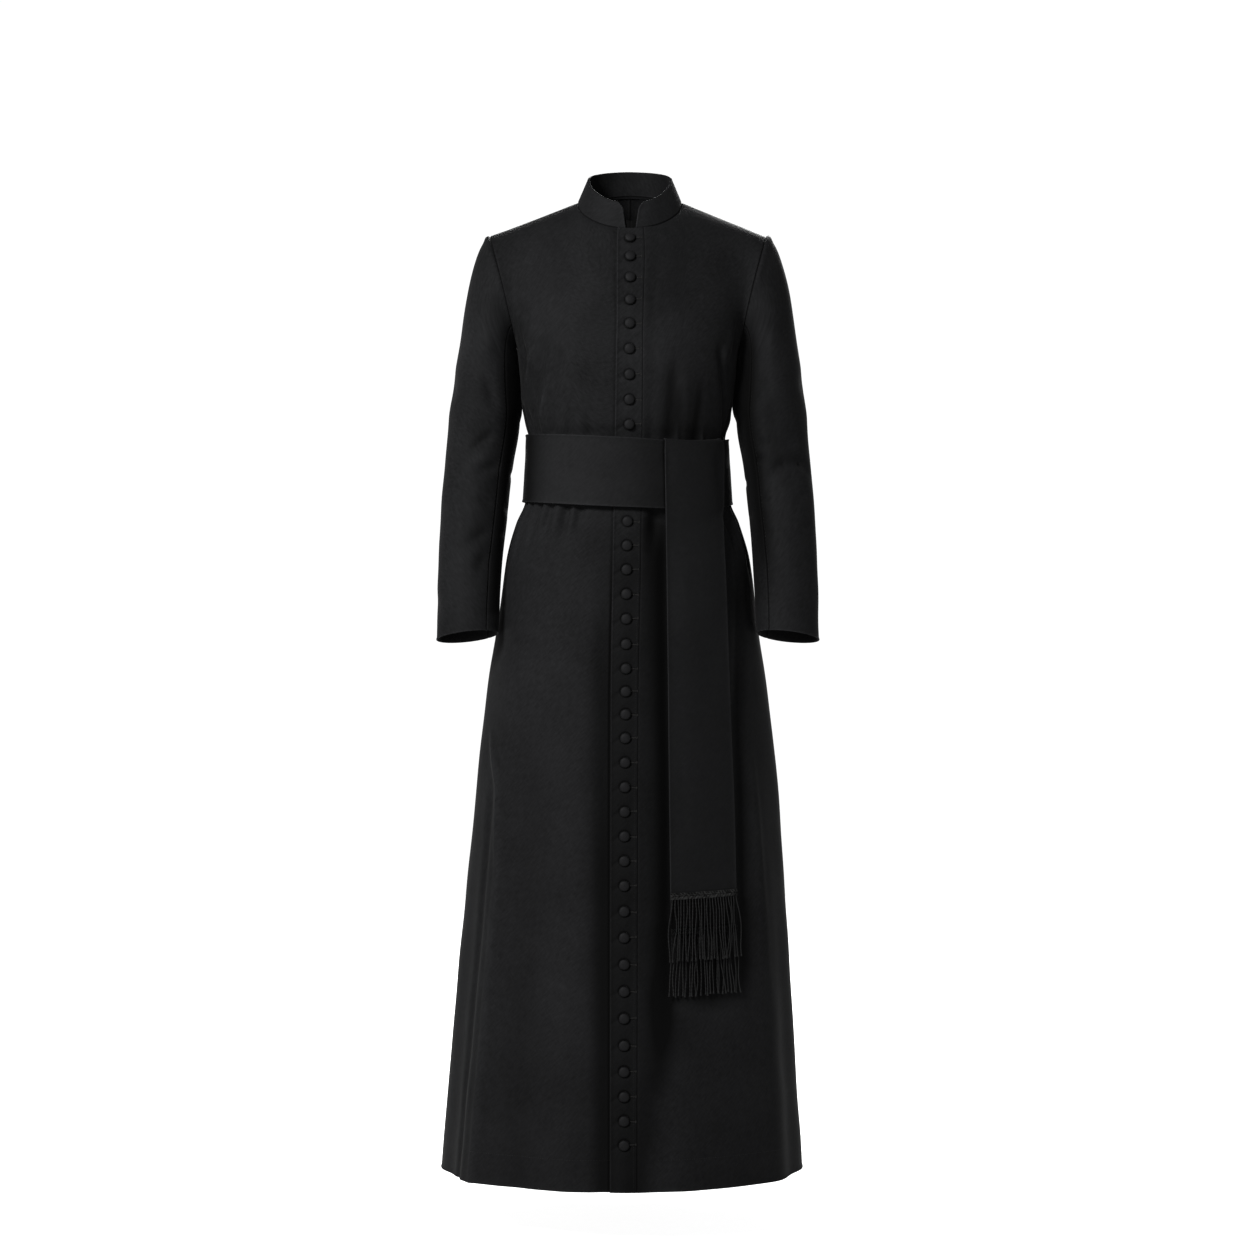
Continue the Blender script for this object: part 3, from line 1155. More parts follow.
# %% [markdown]
# ## The collar
#
# The neckline is finished with a low standing band, stiffened inside, which leaves a square notch at the
# throat for the white collar that is worn with it. Its two front corners are rounded. Behind the notch a tab
# of the same cloth closes the gap down to the neckline, with a seam along its middle.

# %% Standing collar and its tab
COLLAR_CLOTH = 0.0035
COLLAR_TOP_HALF_WIDTH, COLLAR_TOP_FRONT, COLLAR_TOP_BACK = 0.0645, 0.0640, 0.0580
COLLAR_TOP_LEVEL, COLLAR_TOP_DROP, COLLAR_TOP_RISE = 0.0385, 0.0460, 0.0170
NOTCH_X, NOTCH_HALF_WIDTH, NOTCH_SPREAD, NOTCH_ROUND = 0.0010, 0.0073, 0.0060, 0.0070
ROUND_FROM, COLLAR_TUCK = 0.72, 0.12
COLLAR_GROOVE, COLLAR_GROOVE_REACH, COLLAR_GROOVE_DEEP = 0.0012, 0.020, -0.95
TAB_HALF_ANGLE, TAB_MIDDLE, TAB_END = 9.0, 0.26, 0.36
TAB_SEAM_DIP, TAB_SEAM_REACH, TAB_DEEP = 0.0006, 0.03, -0.97


def collar_point(turn, height):
    """The collar's outer face, from its seam (0) to its upper edge (1)."""
    s, c = turned(turn)
    top = xyz(COLLAR_TOP_HALF_WIDTH * s, -np.where(c > 0, COLLAR_TOP_FRONT, COLLAR_TOP_BACK) * c,
              COLLAR_TOP_LEVEL - np.where(c > 0, COLLAR_TOP_DROP, COLLAR_TOP_RISE) * c)
    return blend(neck_point(turn) + np.array([0, 0, 2 * SEAM]), top, height)


def collar_turn(u, height):
    """Round the collar from one side of the notch (0) to the other (1)."""
    rounding = np.maximum(0.0, (height - ROUND_FROM) / (1 - ROUND_FROM)) ** 2
    half = NOTCH_HALF_WIDTH + NOTCH_SPREAD * height + NOTCH_ROUND * rounding
    width = NECK_HALF_WIDTH + (COLLAR_TOP_HALF_WIDTH - NECK_HALF_WIDTH) * height
    start = np.degrees(np.arcsin((NOTCH_X + half) / width))
    end = 360 + np.degrees(np.arcsin((NOTCH_X - half) / width))
    return start + (end - start) * u


def collar_height(v):
    """The collar's facing reaches a little below its seam, inside the neckline."""
    return v * (1 + COLLAR_TUCK) - COLLAR_TUCK


def collar_form(u, v):
    """The collar's outer face and the level direction out of it."""
    turn = collar_turn(u, collar_height(v))
    s, c = turned(turn)
    return collar_point(turn, collar_height(v)), xyz(s, -c, 0.0)


def collar_groove(v):
    """The line of the collar's seam."""
    return np.exp(-((collar_height(v) / COLLAR_GROOVE_REACH) ** 2))


SEAM_LINES = np.array([-0.02, 0.0, 0.012, 0.024, 0.040, 0.070])
collar_rows = np.unique(np.append(shares(14, 0.044), (SEAM_LINES + COLLAR_TUCK) / (1 + COLLAR_TUCK)))
collar = lay_cloth("cloth_collar", shares(steps_of(130), 0.46), collar_rows, collar_form,
                   lambda u, v, p: unevenness(u * 0.9, v * 0.05) * 0.8 - COLLAR_GROOVE * collar_groove(v),
                   COLLAR_CLOTH, turned_edges="lrt",
                   worn=lambda u, v, p: COLLAR_GROOVE_DEEP * collar_groove(v))
show(collar, "cassock_cloth", "collar")


def tab_form(u, height):
    """The tab behind the notch, highest at its two sides; it faces forward."""
    turn = TAB_HALF_ANGLE * (1 - 2 * u)
    share = height * (TAB_MIDDLE + (TAB_END - TAB_MIDDLE) * np.abs(2 * u - 1))
    return collar_point(turn, share) + xyz(NOTCH_X, COLLAR_CLOTH + 4 * SEAM, 4 * SEAM), xyz(0 * u, -1.0, 0.0)


tab = lay_cloth("cloth_collar_underlap", shares(24, 0.025), shares(8, 0.016), tab_form,
                lambda u, v, p: -TAB_SEAM_DIP * np.exp(-(((u - 0.5) / TAB_SEAM_REACH) ** 2)),
                worn=lambda u, v, p: TAB_DEEP + 0 * u)
show(tab, "cassock_cloth", "collar_underlap")

# %% [markdown]
# ## The sash
#
# The fascia is a long band of plain twill, doubled and pressed. It is wound once round the waist over the
# seam, and its two ends turn in over its upper edge at the wearer's left and hang down. They are laid over one
# another, the outer one a hand's breadth shorter. Its edges are folds, so they are softly rounded.

# %% The band round the waist
# angle, upper_level, lower_level
FASCIA_EDGES = (
    (-180.0, -0.3600, -0.4630),
    (-90.0, -0.3590, -0.4625),
    (0.0, -0.3690, -0.4745),
    (35.0, -0.3745, -0.4770),
    (90.0, -0.3650, -0.4660),
    (180.0, -0.3600, -0.4630),
)
# level, middle_x, half_width, front_depth, back_depth, squareness
FASCIA = (
    (-0.3550, -0.0044, 0.1563, 0.1268, 0.1083, 2.30),
    (-0.4150, -0.0042, 0.1585, 0.1268, 0.1070, 2.30),
    (-0.4800, -0.0042, 0.1632, 0.1295, 0.1140, 2.28),
)
FASCIA_CLOSING = 33.75
# angle_a, level_a, angle_b, level_b, half_width, height, fade_a, fade_b[, roll]
FASCIA_CREASES = (
    (30, -386, 14, -428, 10, -1.2, 30, 70, 0.5),
    (29, -456, 8, -447, 9, -1, 30, 70, -0.4),
    (-30, -398, 6, -404, 15, 0.8, 50, 50, 0.3),
    (-70, -440, -28, -452, 12, -0.8, 50, 50, 0.4),
    (-96, -388, -64, -394, 11, -1, 45, 50, 0.5),
    (58, -398, 92, -392, 11, -1.2, 45, 50, 0.5),
    (50, -440, 84, -450, 12, 0.9, 50, 50),
    (104, -428, 148, -436, 12, -1.1, 50, 50, 0.4),
    (122, -386, 168, -380, 11, -1, 50, 50, -0.4),
    (-176, -420, -132, -412, 14, 1, 50, 50, 0.3),
    (-150, -448, -108, -440, 11, -1, 50, 50),
)
FASCIA_BULGE = 0.0008
# angle_a, level_a, angle_b, level_b, half_width, percent paler, fade_a, fade_b
FASCIA_WEAR = (
    (17, -360, 17, -490, 34, -46, 1, 1),
    (66, -360, 66, -480, 40, -45, 1, 1),
    (70, -360, 70, -480, 18, -50, 1, 1),
    (-69, -355, -69, -480, 35, -90, 1, 1),
    (19.9, -350, 20.1, -490, 1.6, -60, 1, 1),
    (-30, -410, -55, -425, 30, 10, 40, 40),
    (150, -360, 150, -480, 30, -20, 1, 1),
)


def fascia_angle(u):
    """Round the waist from one side of the sash's closing to the other."""
    angle = FASCIA_CLOSING + SEAM_ANGLE + (360 - 2 * SEAM_ANGLE) * u
    return (angle + 180) % 360 - 180


def fascia_form(u, down):
    """The band's outer face and the direction out of it."""
    angle = fascia_angle(u)
    upper, lower = read_table(FASCIA_EDGES, angle)
    level = upper + (lower - upper) * down
    return ring_point(angle, level, *read_table(FASCIA, level))


def fascia_relief(u, down, points):
    """The sash's shallow creases and the slight swell between its two edges."""
    angle = fascia_angle(u)
    plain = creases_round(angle, points, FASCIA_CREASES) / 1000 + FASCIA_BULGE * np.sin(math.pi * down)
    return plain + unevenness(angle * DEGREE_M, points[..., 2]) * 0.5


def fascia_wear(u, down, points):
    """How much paler or deeper the sash is."""
    return creases_round(fascia_angle(u), points, FASCIA_WEAR) / 100


beside_end = (np.arange(18.2, 21.4, 0.2) - FASCIA_CLOSING - SEAM_ANGLE) % 360 / (360 - 2 * SEAM_ANGLE)
fascia_columns = np.unique(np.append(shares(steps_of(200), 0.90), beside_end))
fascia = lay_cloth("sash_band", fascia_columns, shares(22, 0.104), fascia_form, fascia_relief, sewn="lr",
                   turned_edges="tb", worn=fascia_wear)
show(fascia, "sash_twill", "fascia_band")

# %% [markdown]
# ## The two hanging ends
#
# A hanging end touches the band of the sash, falls straight past its lower edge and then rests on the skirt.
# The same rule is used here: it lies on whichever stands further out. Its two edges are given straight, and
# what lies between them is shared out along the cloth, so that it doesn't bunch where the body turns away.

# %% Where the ends hang
STREAMER_WIDTH, STREAMER_CLOTH, STREAMER_CLEARANCE = 0.104, 0.0015, 0.0025
# level, left_edge_x, right_edge_x
STREAMER_EDGE = (
    (-0.3600, 0.0510, 0.1400),
    (-0.4687, 0.0524, 0.1400),
    (-0.5806, 0.0543, 0.1428),
    (-0.6732, 0.0553, 0.1458),
    (-1.0440, 0.0589, 0.1568),
    (-1.2000, 0.0605, 0.1590),
)
FRONT_STREAMER_END, STREAMER_STEP = -1.0575, 0.0524
SASH_EDGE, BACK_STREAMER_TOP = -0.3750, -0.3830
STREAMER_OFF = 0.0011
HEADER_HEIGHT, HEADER_THICK = 0.0100, 0.0020
FRINGE_LENGTH, FRINGE_THICK, FRINGE_FLARE = 0.0917, 0.0040, 0.0060
FRONT_NEAR = STREAMER_OFF + STREAMER_CLOTH + SEAM
HEADER_NEAR = FRONT_NEAR + STREAMER_CLOTH + SEAM
FRONT_FRINGE_NEAR = FRONT_NEAR + HEADER_THICK + 2 * SEAM
STREAMER_ANGLES = np.arange(0, 86, 0.25)
TILT, TILT_FROM, TILT_REACH = 0.0038, -0.90, 0.15


def streamer_base(angle, level):
    """What an end hangs against, and the direction out of it."""
    skirt, outward = ring_point(angle, level, *read_table(BODY, level))
    skirt = skirt + outward * (fold_height(angle, level) + STREAMER_CLEARANCE)[..., None]
    sash, sash_outward = ring_point(angle, level, *read_table(FASCIA, level))
    share = ease(0.5 + ((skirt - sash) * outward).sum(-1) / 0.008)
    return blend(sash, skirt, share), unit(blend(sash_outward, outward, share))


def streamer_angle(across, level, flare=0.0):
    """The angle that lies a given share of the width from an end's left edge, measured along the cloth."""
    across, level, flare = np.broadcast_arrays(*(np.asarray(item, float) for item in (across, level, flare)))
    levels, row = np.unique(level, return_inverse=True)
    row = row.reshape(level.shape)
    line = streamer_base(*np.meshgrid(STREAMER_ANGLES, levels))[0]
    run = lengths_along(line, 1)
    left_x, right_x = read_table(STREAMER_EDGE, levels)
    found = np.zeros(level.shape)
    for i in range(len(levels)):
        start, stop = np.interp((left_x[i], right_x[i]), line[i, :, 0], run[i])
        here = row == i
        goal = start + (stop - start) * across[here] + flare[here] * (2 * across[here] - 1)
        found[here] = np.interp(goal, run[i], STREAMER_ANGLES)
    return found


def tilt(across, level):
    """The ends hang a little lower at their inner corner."""
    lower = TILT * (1 - across) * ease((TILT_FROM - level) / TILT_REACH)
    return xyz(0.0, 0.0, -lower)


def hanging(across, level, out, flare=0.0):
    """A point of what hangs from the sash, and the direction out of it."""
    point, outward = streamer_base(streamer_angle(across, level, flare), level)
    return point + outward * np.asarray(out)[..., None] + tilt(across, level), outward


# %% The two ends of cloth
CORNER_ROUND, FOLD_SHARE = 0.0085, 0.008
# percent_across_a, level_a, percent_across_b, level_b, half_width, height, fade_a, fade_b[, roll]
STREAMER_CREASES = (
    (10, -380, 4, -470, 7, -0.8, 20, 60, 0.4),
    (86, -385, 93, -470, 8, -0.9, 20, 60, 0.4),
    (30, -520, 36, -700, 16, 1.2, 50, 50, 0.3),
    (70, -600, 62, -860, 18, -1.1, 50, 50),
    (18, -780, 24, -1010, 14, -0.9, 50, 40, 0.3),
    (86, -800, 80, -1040, 15, 1.2, 50, 40),
)
EDGE_CURL, EDGE_CURL_REACH, CURL_WAVES = 0.0007, 0.0100, (23, 4)
BEHIND_FRINGE = -0.97


def streamer_relief(across, level):
    """Long shallow waves, and edges that curl up a little."""
    plain = crease_sum(across * 100, level, STREAMER_WIDTH / 100, STREAMER_CREASES) / 1000
    edge = np.minimum(across, 1 - across) * STREAMER_WIDTH
    curl = EDGE_CURL * np.exp(-((edge / EDGE_CURL_REACH) ** 2))
    return plain + curl * (1 + np.sin(level * CURL_WAVES[0] + across * CURL_WAVES[1])) / 2


def front_end_form(u, v):
    """The outer end: it turns in over the sash's upper edge, then falls."""
    edge = read_table(FASCIA_EDGES, streamer_angle(u, SASH_EDGE))[0]
    fallen = np.maximum(v - FOLD_SHARE, 0.0) / (1 - FOLD_SHARE)
    level = edge + (FRONT_STREAMER_END - edge) * fallen
    cut = 1 - np.clip((edge - level) / CORNER_ROUND, 0.0, 1.0)
    across = u * (1 - (1 - np.sqrt(1 - cut * cut)) * CORNER_ROUND / STREAMER_WIDTH)
    angle = streamer_angle(across, SASH_EDGE + fallen * (FRONT_STREAMER_END - SASH_EDGE))
    point, outward = streamer_base(angle, level)
    swing = np.radians(90 * np.minimum(v / FOLD_SHARE, 1.0))
    turn_in = ((CLOTH + FRONT_NEAR) * np.sin(swing) - CLOTH)[..., None] * outward
    rise = xyz(0.0, 0.0, 2 * SEAM * np.cos(swing))
    facing = unit(outward * np.sin(swing)[..., None] + xyz(0.0, 0.0, np.cos(swing)))
    return point + turn_in + rise + facing * STREAMER_CLOTH + tilt(across, level), facing


ROWS = steps_of(150)
front_end = lay_cloth("sash_end_front", shares(26, STREAMER_WIDTH), shares(ROWS, 0.68), front_end_form,
                      lambda u, v, p: streamer_relief(u, p[..., 2]) * ease(v / 0.05), STREAMER_CLOTH,
                      turned_edges="lr")
show(front_end, "sash_twill", "fascia_streamer_front")


def strip(name, first, last, near, thick, columns, rows, relief, turned_edges="", worn=None):
    """A strip that hangs with the ends, from one level to another, its inner face at near."""
    def form(u, v):
        return hanging(u, first + (last - first) * v, near + thick + 0 * u)

    return lay_cloth(name, columns, rows, form, relief, thick, turned_edges=turned_edges, worn=worn)


back_end = strip("sash_end_back", BACK_STREAMER_TOP, FRONT_STREAMER_END - STREAMER_STEP, STREAMER_OFF,
                 STREAMER_CLOTH, shares(26, STREAMER_WIDTH), shares(ROWS, 0.72),
                 lambda u, v, p: streamer_relief(u, p[..., 2]) * 0.6, turned_edges="lr",
                 worn=lambda u, v, p: BEHIND_FRINGE * ease((FRONT_STREAMER_END - p[..., 2]) / 0.006))
show(back_end, "sash_twill", "fascia_streamer_back")

# %% [markdown]
# ## Strands: cords, threads and stitches
#
# Everything twisted or sewn is made from one kind of rod: a cylinder cut across into short lengths, bent on to
# a path. A cord gets two plies by making its section oval and turning it as it goes along. Stitches are short
# rods with only a few faces, because there are hundreds of them.

# %% Rods on a path
def strands(name, count, around, steps, place):
    """Many rods in one piece. place(which, share, turn) gives the points of their skin."""
    bm = bmesh.new()
    bmesh.ops.create_cone(bm, cap_ends=True, segments=around, radius1=1.0, radius2=1.0, depth=1.0)
    long_edges = [edge for edge in bm.edges if abs(edge.verts[0].co.z - edge.verts[1].co.z) > 0.5]
    bmesh.ops.subdivide_edges(bm, edges=long_edges, cuts=steps - 1, use_grid_fill=True)
    rod = bpy.data.meshes.new("rod")
    bm.to_mesh(rod)
    for _ in range(count - 1):
        bm.from_mesh(rod)
    mesh = bpy.data.meshes.new(name)
    bm.to_mesh(mesh)
    bm.free()
    bpy.data.meshes.remove(rod)
    upright = corners_of(mesh).reshape(count, -1, 3)
    share, turn = upright[..., 2] + 0.5, np.arctan2(upright[..., 1], upright[..., 0])
    which = np.broadcast_to(np.arange(count)[:, None], share.shape)
    points = place(which, share, turn)
    mesh.vertices.foreach_set("co", points.ravel())
    set_cloth_map(mesh, turn.ravel() * 0.001, (which * 0.37 + share * 0.1).ravel())
    piece = finish_mesh(mesh)
    print(f"{name}: {count} rods, {len(mesh.polygons)} faces")
    return piece


def skin(point, outward, along, turn, radius):
    """A rod's skin round its middle line."""
    side = unit(np.cross(outward, along))
    return point + (side * np.cos(turn)[..., None] + outward * np.sin(turn)[..., None]) * radius[..., None]


def rod_skin(line, radius, step):
    """The skin of plain rods along line(which, share); their direction is read step before and after."""
    def place(which, share, turn):
        point, outward = line(which, share)
        along = unit(line(which, share + step)[0] - line(which, share - step)[0])
        return skin(point, outward, along, turn, np.full(share.shape, radius))

    return place


# %% [markdown]
# ## Braid and fringe
#
# Each end is finished with a narrow braid, and below it hangs a fringe of twisted cords, cut to one length and
# closed at the tip with a small knot. Cords never hang alike: some bow out, lean on a neighbour or cross it.

# %% Braid
BRAID_BUMP, BRAID_PITCH, BRAID_DEEP, BRAID_RIM = 0.0008, 0.0043, -0.95, 0.14
PLAIT_SPECKS = np.random.default_rng(31).uniform(-0.75, 0.35, (4, 61))


def braid_relief(u, v, points):
    """Slanting plaits in two rows, pointing towards each other."""
    plait = np.sin(math.pi * (u * STREAMER_WIDTH + np.abs(v - 0.5) * HEADER_HEIGHT * 0.9) / BRAID_PITCH)
    return BRAID_BUMP * (np.abs(plait) - np.exp(-(((v - 0.5) / 0.07) ** 2)))


def braid_wear(u, v, points):
    """Deep between the plaits and along the stitched upper rim; no two plaits catch the light alike."""
    hidden = BEHIND_FRINGE * ease((FRONT_STREAMER_END - TILT - points[..., 2]) / 0.002)
    stitched = np.sin(2 * math.pi * u * STREAMER_WIDTH / BRAID_PITCH) > -0.2
    rim = np.exp(-(((v - BRAID_RIM) / 0.06) ** 2)) * stitched
    plait = (u * STREAMER_WIDTH + np.abs(v - 0.5) * HEADER_HEIGHT * 0.9) / BRAID_PITCH * 2
    speck = PLAIT_SPECKS[(v * 3.99).astype(int), plait.astype(int) % PLAIT_SPECKS.shape[1]]
    return hidden + BRAID_DEEP * ((1 - braid_relief(u, v, points) / BRAID_BUMP) * 0.5 + rim) + speck


for word, end, near in (("front", FRONT_STREAMER_END, HEADER_NEAR),
                        ("back", FRONT_STREAMER_END - STREAMER_STEP, FRONT_NEAR)):
    braid = strip(f"sash_braid_{word}", end + HEADER_HEIGHT, end, near, HEADER_THICK,
                  shares(steps_of(260), STREAMER_WIDTH), shares(14, HEADER_HEIGHT), braid_relief,
                  worn=braid_wear)
    show(braid, "fringe_cord", f"fringe_header_{word}")

# %% Fringe
CORDS, CORD_RADIUS, CORD_PLY, CORD_TURNS = 24, 0.00080, 0.20, 17
KNOT_SWELL, KNOT_AT, KNOT_REACH = 0.75, 0.985, 0.022
CORD_TUCK, CORD_TUCK_SHARE = 0.35, 0.02
# number of the cord from the left, sideways swing in the middle and at the tip, in metres
STRAYS = {
    "front": ((0, -0.0028, 0.0006), (1, 0.0030, -0.0006), (2, 0.0024, 0.0010), (5, -0.0012, 0.0018),
              (6, 0.0004, -0.0016), (9, 0.0012, 0.0022), (10, 0.0002, 0.0006), (16, 0.0006, 0.0030),
              (17, 0.0010, 0.0026), (19, 0.0024, -0.0030), (20, 0.0030, -0.0052), (22, -0.0014, 0.0004),
              (23, 0.0034, 0.0014)),
    "back": ((0, 0.0008, -0.0004), (6, 0.0020, 0.0012), (9, -0.0010, -0.0026), (11, -0.0004, 0.0020),
             (15, 0.0014, 0.0030), (17, -0.0004, 0.0044), (18, 0.0010, -0.0046), (21, -0.0030, 0.0016),
             (23, 0.0010, 0.0010)),
}


def make_fringe(name, word, start, near, seed):
    """Twisted cords side by side, from a level down."""
    chance = np.random.default_rng(seed)
    sway, phase = chance.uniform(0.0003, 0.0011, CORDS), chance.uniform(0, 2 * math.pi, CORDS)
    waves, shorter = chance.uniform(0.7, 1.6, CORDS), chance.uniform(0.0, 0.0030, CORDS)
    girth, depth = chance.uniform(0.9, 1.08, CORDS), chance.uniform(0.25, 0.75, CORDS)
    middle, tip = np.zeros(CORDS), chance.uniform(-0.0008, 0.0008, CORDS)
    for cord, at_middle, at_tip in STRAYS[word]:
        middle[cord], tip[cord] = at_middle, at_tip

    def line(which, share):
        fall = share * (FRINGE_LENGTH - shorter[which])
        aside = middle[which] * np.sin(math.pi * share) ** 2 + tip[which] * share**3
        swing = np.sin(2 * math.pi * waves[which] * share + phase[which])
        aside = aside + sway[which] * swing * ease(share / 0.2)
        across = (which + 0.5) / CORDS + aside / STREAMER_WIDTH
        out = near + CORD_RADIUS + (FRINGE_THICK - 2 * CORD_RADIUS) * depth[which] * ease(share / 0.3)
        return hanging(np.round(across, 6), np.round(start - fall, 4), out, FRINGE_FLARE * np.round(share, 3))

    def place(which, share, turn):
        point, outward = line(which, share)
        along = unit(line(which, np.minimum(share + 0.01, 1.0))[0] - line(which, share - 0.01)[0])
        knot = 1 + KNOT_SWELL * np.exp(-(((share - KNOT_AT) / KNOT_REACH) ** 2))
        tuck = 1 - CORD_TUCK * ease(1 - share / CORD_TUCK_SHARE)
        ply = 1 + CORD_PLY * np.cos(2 * (turn - math.pi * CORD_TURNS * share))
        return skin(point, outward, along, turn, CORD_RADIUS * girth[which] * knot * ply * tuck)

    return strands(name, CORDS, steps_of(10), steps_of(84), place)


for word, end, near, seed in (("front", FRONT_STREAMER_END, FRONT_FRINGE_NEAR, 11),
                              ("back", FRONT_STREAMER_END - STREAMER_STEP, STREAMER_OFF, 12)):
    fringe = make_fringe(f"sash_fringe_{word}", word, end - SEAM, near, seed)
    show(fringe, "fringe_cord", f"fringe_{word}")

# %% [markdown]
# ## Buttons
#
# Each button is a shallow wooden or metal mould covered with the cassock's own cloth, so it has a soft dome, a
# crisp rim and a flat underside. Thirty-eight of them run down the band; three are under the sash. A button
# stays done up here: undoing it means bending the cloth, which isn't a hinge or a slide.

# %% Covered buttons
BUTTON_RADIUS, BUTTON_HEIGHT = 0.0080, 0.0058
RIM_FROM, RIM_DEEP, FACE_RUBBED = 0.93, -0.75, 0.10
# radius, height
BUTTON_PROFILE = (
    (0.00, 0.00), (0.45, 0.02), (0.80, 0.07), (0.95, 0.14), (0.995, 0.23), (1.00, 0.34), (0.985, 0.47),
    (0.95, 0.60), (0.89, 0.71), (0.80, 0.80), (0.68, 0.875), (0.52, 0.935), (0.34, 0.975), (0.16, 0.995),
    (0.00, 1.00),
)


def cover_button(number):
    """One button, spun from its profile and set on the band."""
    drop, angle = button_drops[number - 1], button_angles[number - 1]
    point, outward = body_at(angle, drop)
    lift = BAND_LIFT + float(band_relief(np.array([[angle]]), point[None, None])[0, 0]) + DIMPLE * 0.75
    bm = bmesh.new()
    chain = [bm.verts.new((radius * BUTTON_RADIUS, 0.0, height * BUTTON_HEIGHT))
             for radius, height in BUTTON_PROFILE]
    edges = [bm.edges.new(pair) for pair in zip(chain, chain[1:])]
    bmesh.ops.spin(bm, geom=chain + edges, cent=(0, 0, 0), axis=(0, 0, 1), angle=math.tau,
                   steps=steps_of(28), use_merge=True)
    bmesh.ops.remove_doubles(bm, verts=bm.verts, dist=1e-6)
    bmesh.ops.recalc_face_normals(bm, faces=bm.faces)
    turn = Vector(outward).to_track_quat("Z", "Y").to_matrix().to_4x4()
    worn = bm.verts.layers.float.new("worn")
    for vert in bm.verts:
        vert[worn] = RIM_DEEP if vert.co.xy.length > RIM_FROM * BUTTON_RADIUS else FACE_RUBBED
    uv = bm.loops.layers.uv.new("cloth")
    for face in bm.faces:
        for loop in face.loops:
            loop[uv].uv = (loop.vert.co.x + number * 0.013, loop.vert.co.y + number * 0.031)
    bm.transform(Matrix.Translation(Vector(point + outward * lift)) @ turn)
    mesh = bpy.data.meshes.new(f"cover_button_{number:02d}")
    bm.to_mesh(mesh)
    bm.free()
    return show(finish_mesh(mesh), "button_cover", f"button_{number:02d}")


buttons = [cover_button(number) for number in range(1, BUTTONS + 1)]
print("buttons:", len(buttons), "with", len(buttons[0].data.polygons), "faces each")

# %% [markdown]
# ## Buttonholes and stitches
#
# A buttonhole is worked by hand or machine: two ridges of thread run beside the slit, and end round a small
# eyelet. Rows of running stitches hold the band, the hem and the sleeve seams. They are rods like the fringe.

# %% Buttonholes
HOLE_FROM, HOLE_TO, HOLE_HALF_GAP, HOLE_THREAD = 0.0050, 0.0165, 0.00045, 0.00030
EYELET_HALF_WIDTH, EYELET_HALF_HEIGHT, EYELET_THREAD = 0.0008, 0.0013, 0.00034
HOLE_SLOPE, RIDGE_LIFT, EYELET_LIFT = 0.07, 0.0001, 0.00015


def hole_lean(button):
    """No two buttonholes are quite level."""
    return HOLE_SLOPE * np.sin(button * 2.4 + 0.6)


def button_slopes():
    """How the angle and the drop change for a metre across and a metre up, at each button."""
    step = 1e-4
    across = (body_point(button_angles + step, button_drops) - body_point(button_angles - step, button_drops))
    down = (body_point(button_angles, button_drops + step) - body_point(button_angles, button_drops - step))
    slopes = np.stack([across[:, [0, 2]], down[:, [0, 2]]], axis=-1) / (2 * step)
    return np.linalg.inv(slopes)


BUTTON_SLOPES = button_slopes()


def beside_button(which, x, z, lift):
    """A point of the band at x to the side of a button and z above it, and the direction out."""
    change = (BUTTON_SLOPES[which] * np.stack([x, z], axis=-1)[..., None, :]).sum(-1)
    angle, drop = button_angles[which] + change[..., 0], button_drops[which] + change[..., 1]
    point, outward = body_at(angle, drop)
    return point + outward * (BAND_LIFT + lift + band_relief(angle, point))[..., None], outward


def ridge_line(which, share):
    """Two ridges to each button, either side of the slit."""
    button, upper = which // 2, which % 2
    x = HOLE_FROM + (HOLE_TO - HOLE_FROM) * share
    return beside_button(button, x, (2 * upper - 1) * HOLE_HALF_GAP + hole_lean(button) * x, RIDGE_LIFT)


def eyelet_line(which, share):
    """A round of thread at the end of each buttonhole."""
    swing = math.tau * share
    x = HOLE_TO + EYELET_HALF_WIDTH * (1 - np.cos(swing))
    z = EYELET_HALF_HEIGHT * np.sin(swing) + hole_lean(which) * HOLE_TO
    return beside_button(which, x, z, EYELET_LIFT)


ridges = strands("thread_buttonholes", 2 * BUTTONS, 5, 8, rod_skin(ridge_line, HOLE_THREAD, 0.02))
eyelets = strands("thread_eyelets", BUTTONS, 5, 12, rod_skin(eyelet_line, EYELET_THREAD, 0.02))
for piece in (ridges, eyelets):
    show(piece, "cassock_cloth")

# %% Rows of stitches
STITCH, STITCH_EVERY, STITCH_RADIUS = 0.0024, 0.0036, 0.00026
STITCH_START, STITCH_LIFT, STITCH_SINK = 0.15, 0.00005, 1.6


def stitch_row(name, line, length):
    """Running stitches along line(share), which gives points of the cloth's face and the directions out."""
    count = int(length / STITCH_EVERY)

    def at(which, share):
        point, outward = line((which + STITCH_START + share * STITCH / STITCH_EVERY) / count)
        sunk = STITCH_SINK * STITCH_RADIUS * (2 * share - 1)[..., None] ** 2
        return point + outward * (STITCH_LIFT - sunk), outward

    show(strands(name, count, 4, 2, rod_skin(at, STITCH_RADIUS, 0.05)), "cassock_cloth")


BAND_STITCH_ANGLE, BAND_FROM, BAND_TO = 1.1, 0.02, 1.995
HEM_STITCH, HEM_CLEAR, HEM_REACH = 0.046, 0.3, 0.25
SLEEVE_STITCH_DEGREES, SLEEVE_SEAM_M, SLEEVE_FROM, SLEEVE_TO = 3.2, 0.50, 0.02, 1.98


def band_line(share):
    """Down the band, beside the seam that joins it to the left front."""
    drop = drop_after(fallen(BAND_FROM) + (fallen(BAND_TO) - fallen(BAND_FROM)) * share)
    angle = band_seam(drop) - BAND_STITCH_ANGLE
    point, outward = body_at(angle, drop)
    return point + outward * (BAND_LIFT + band_relief(angle, point))[..., None], outward


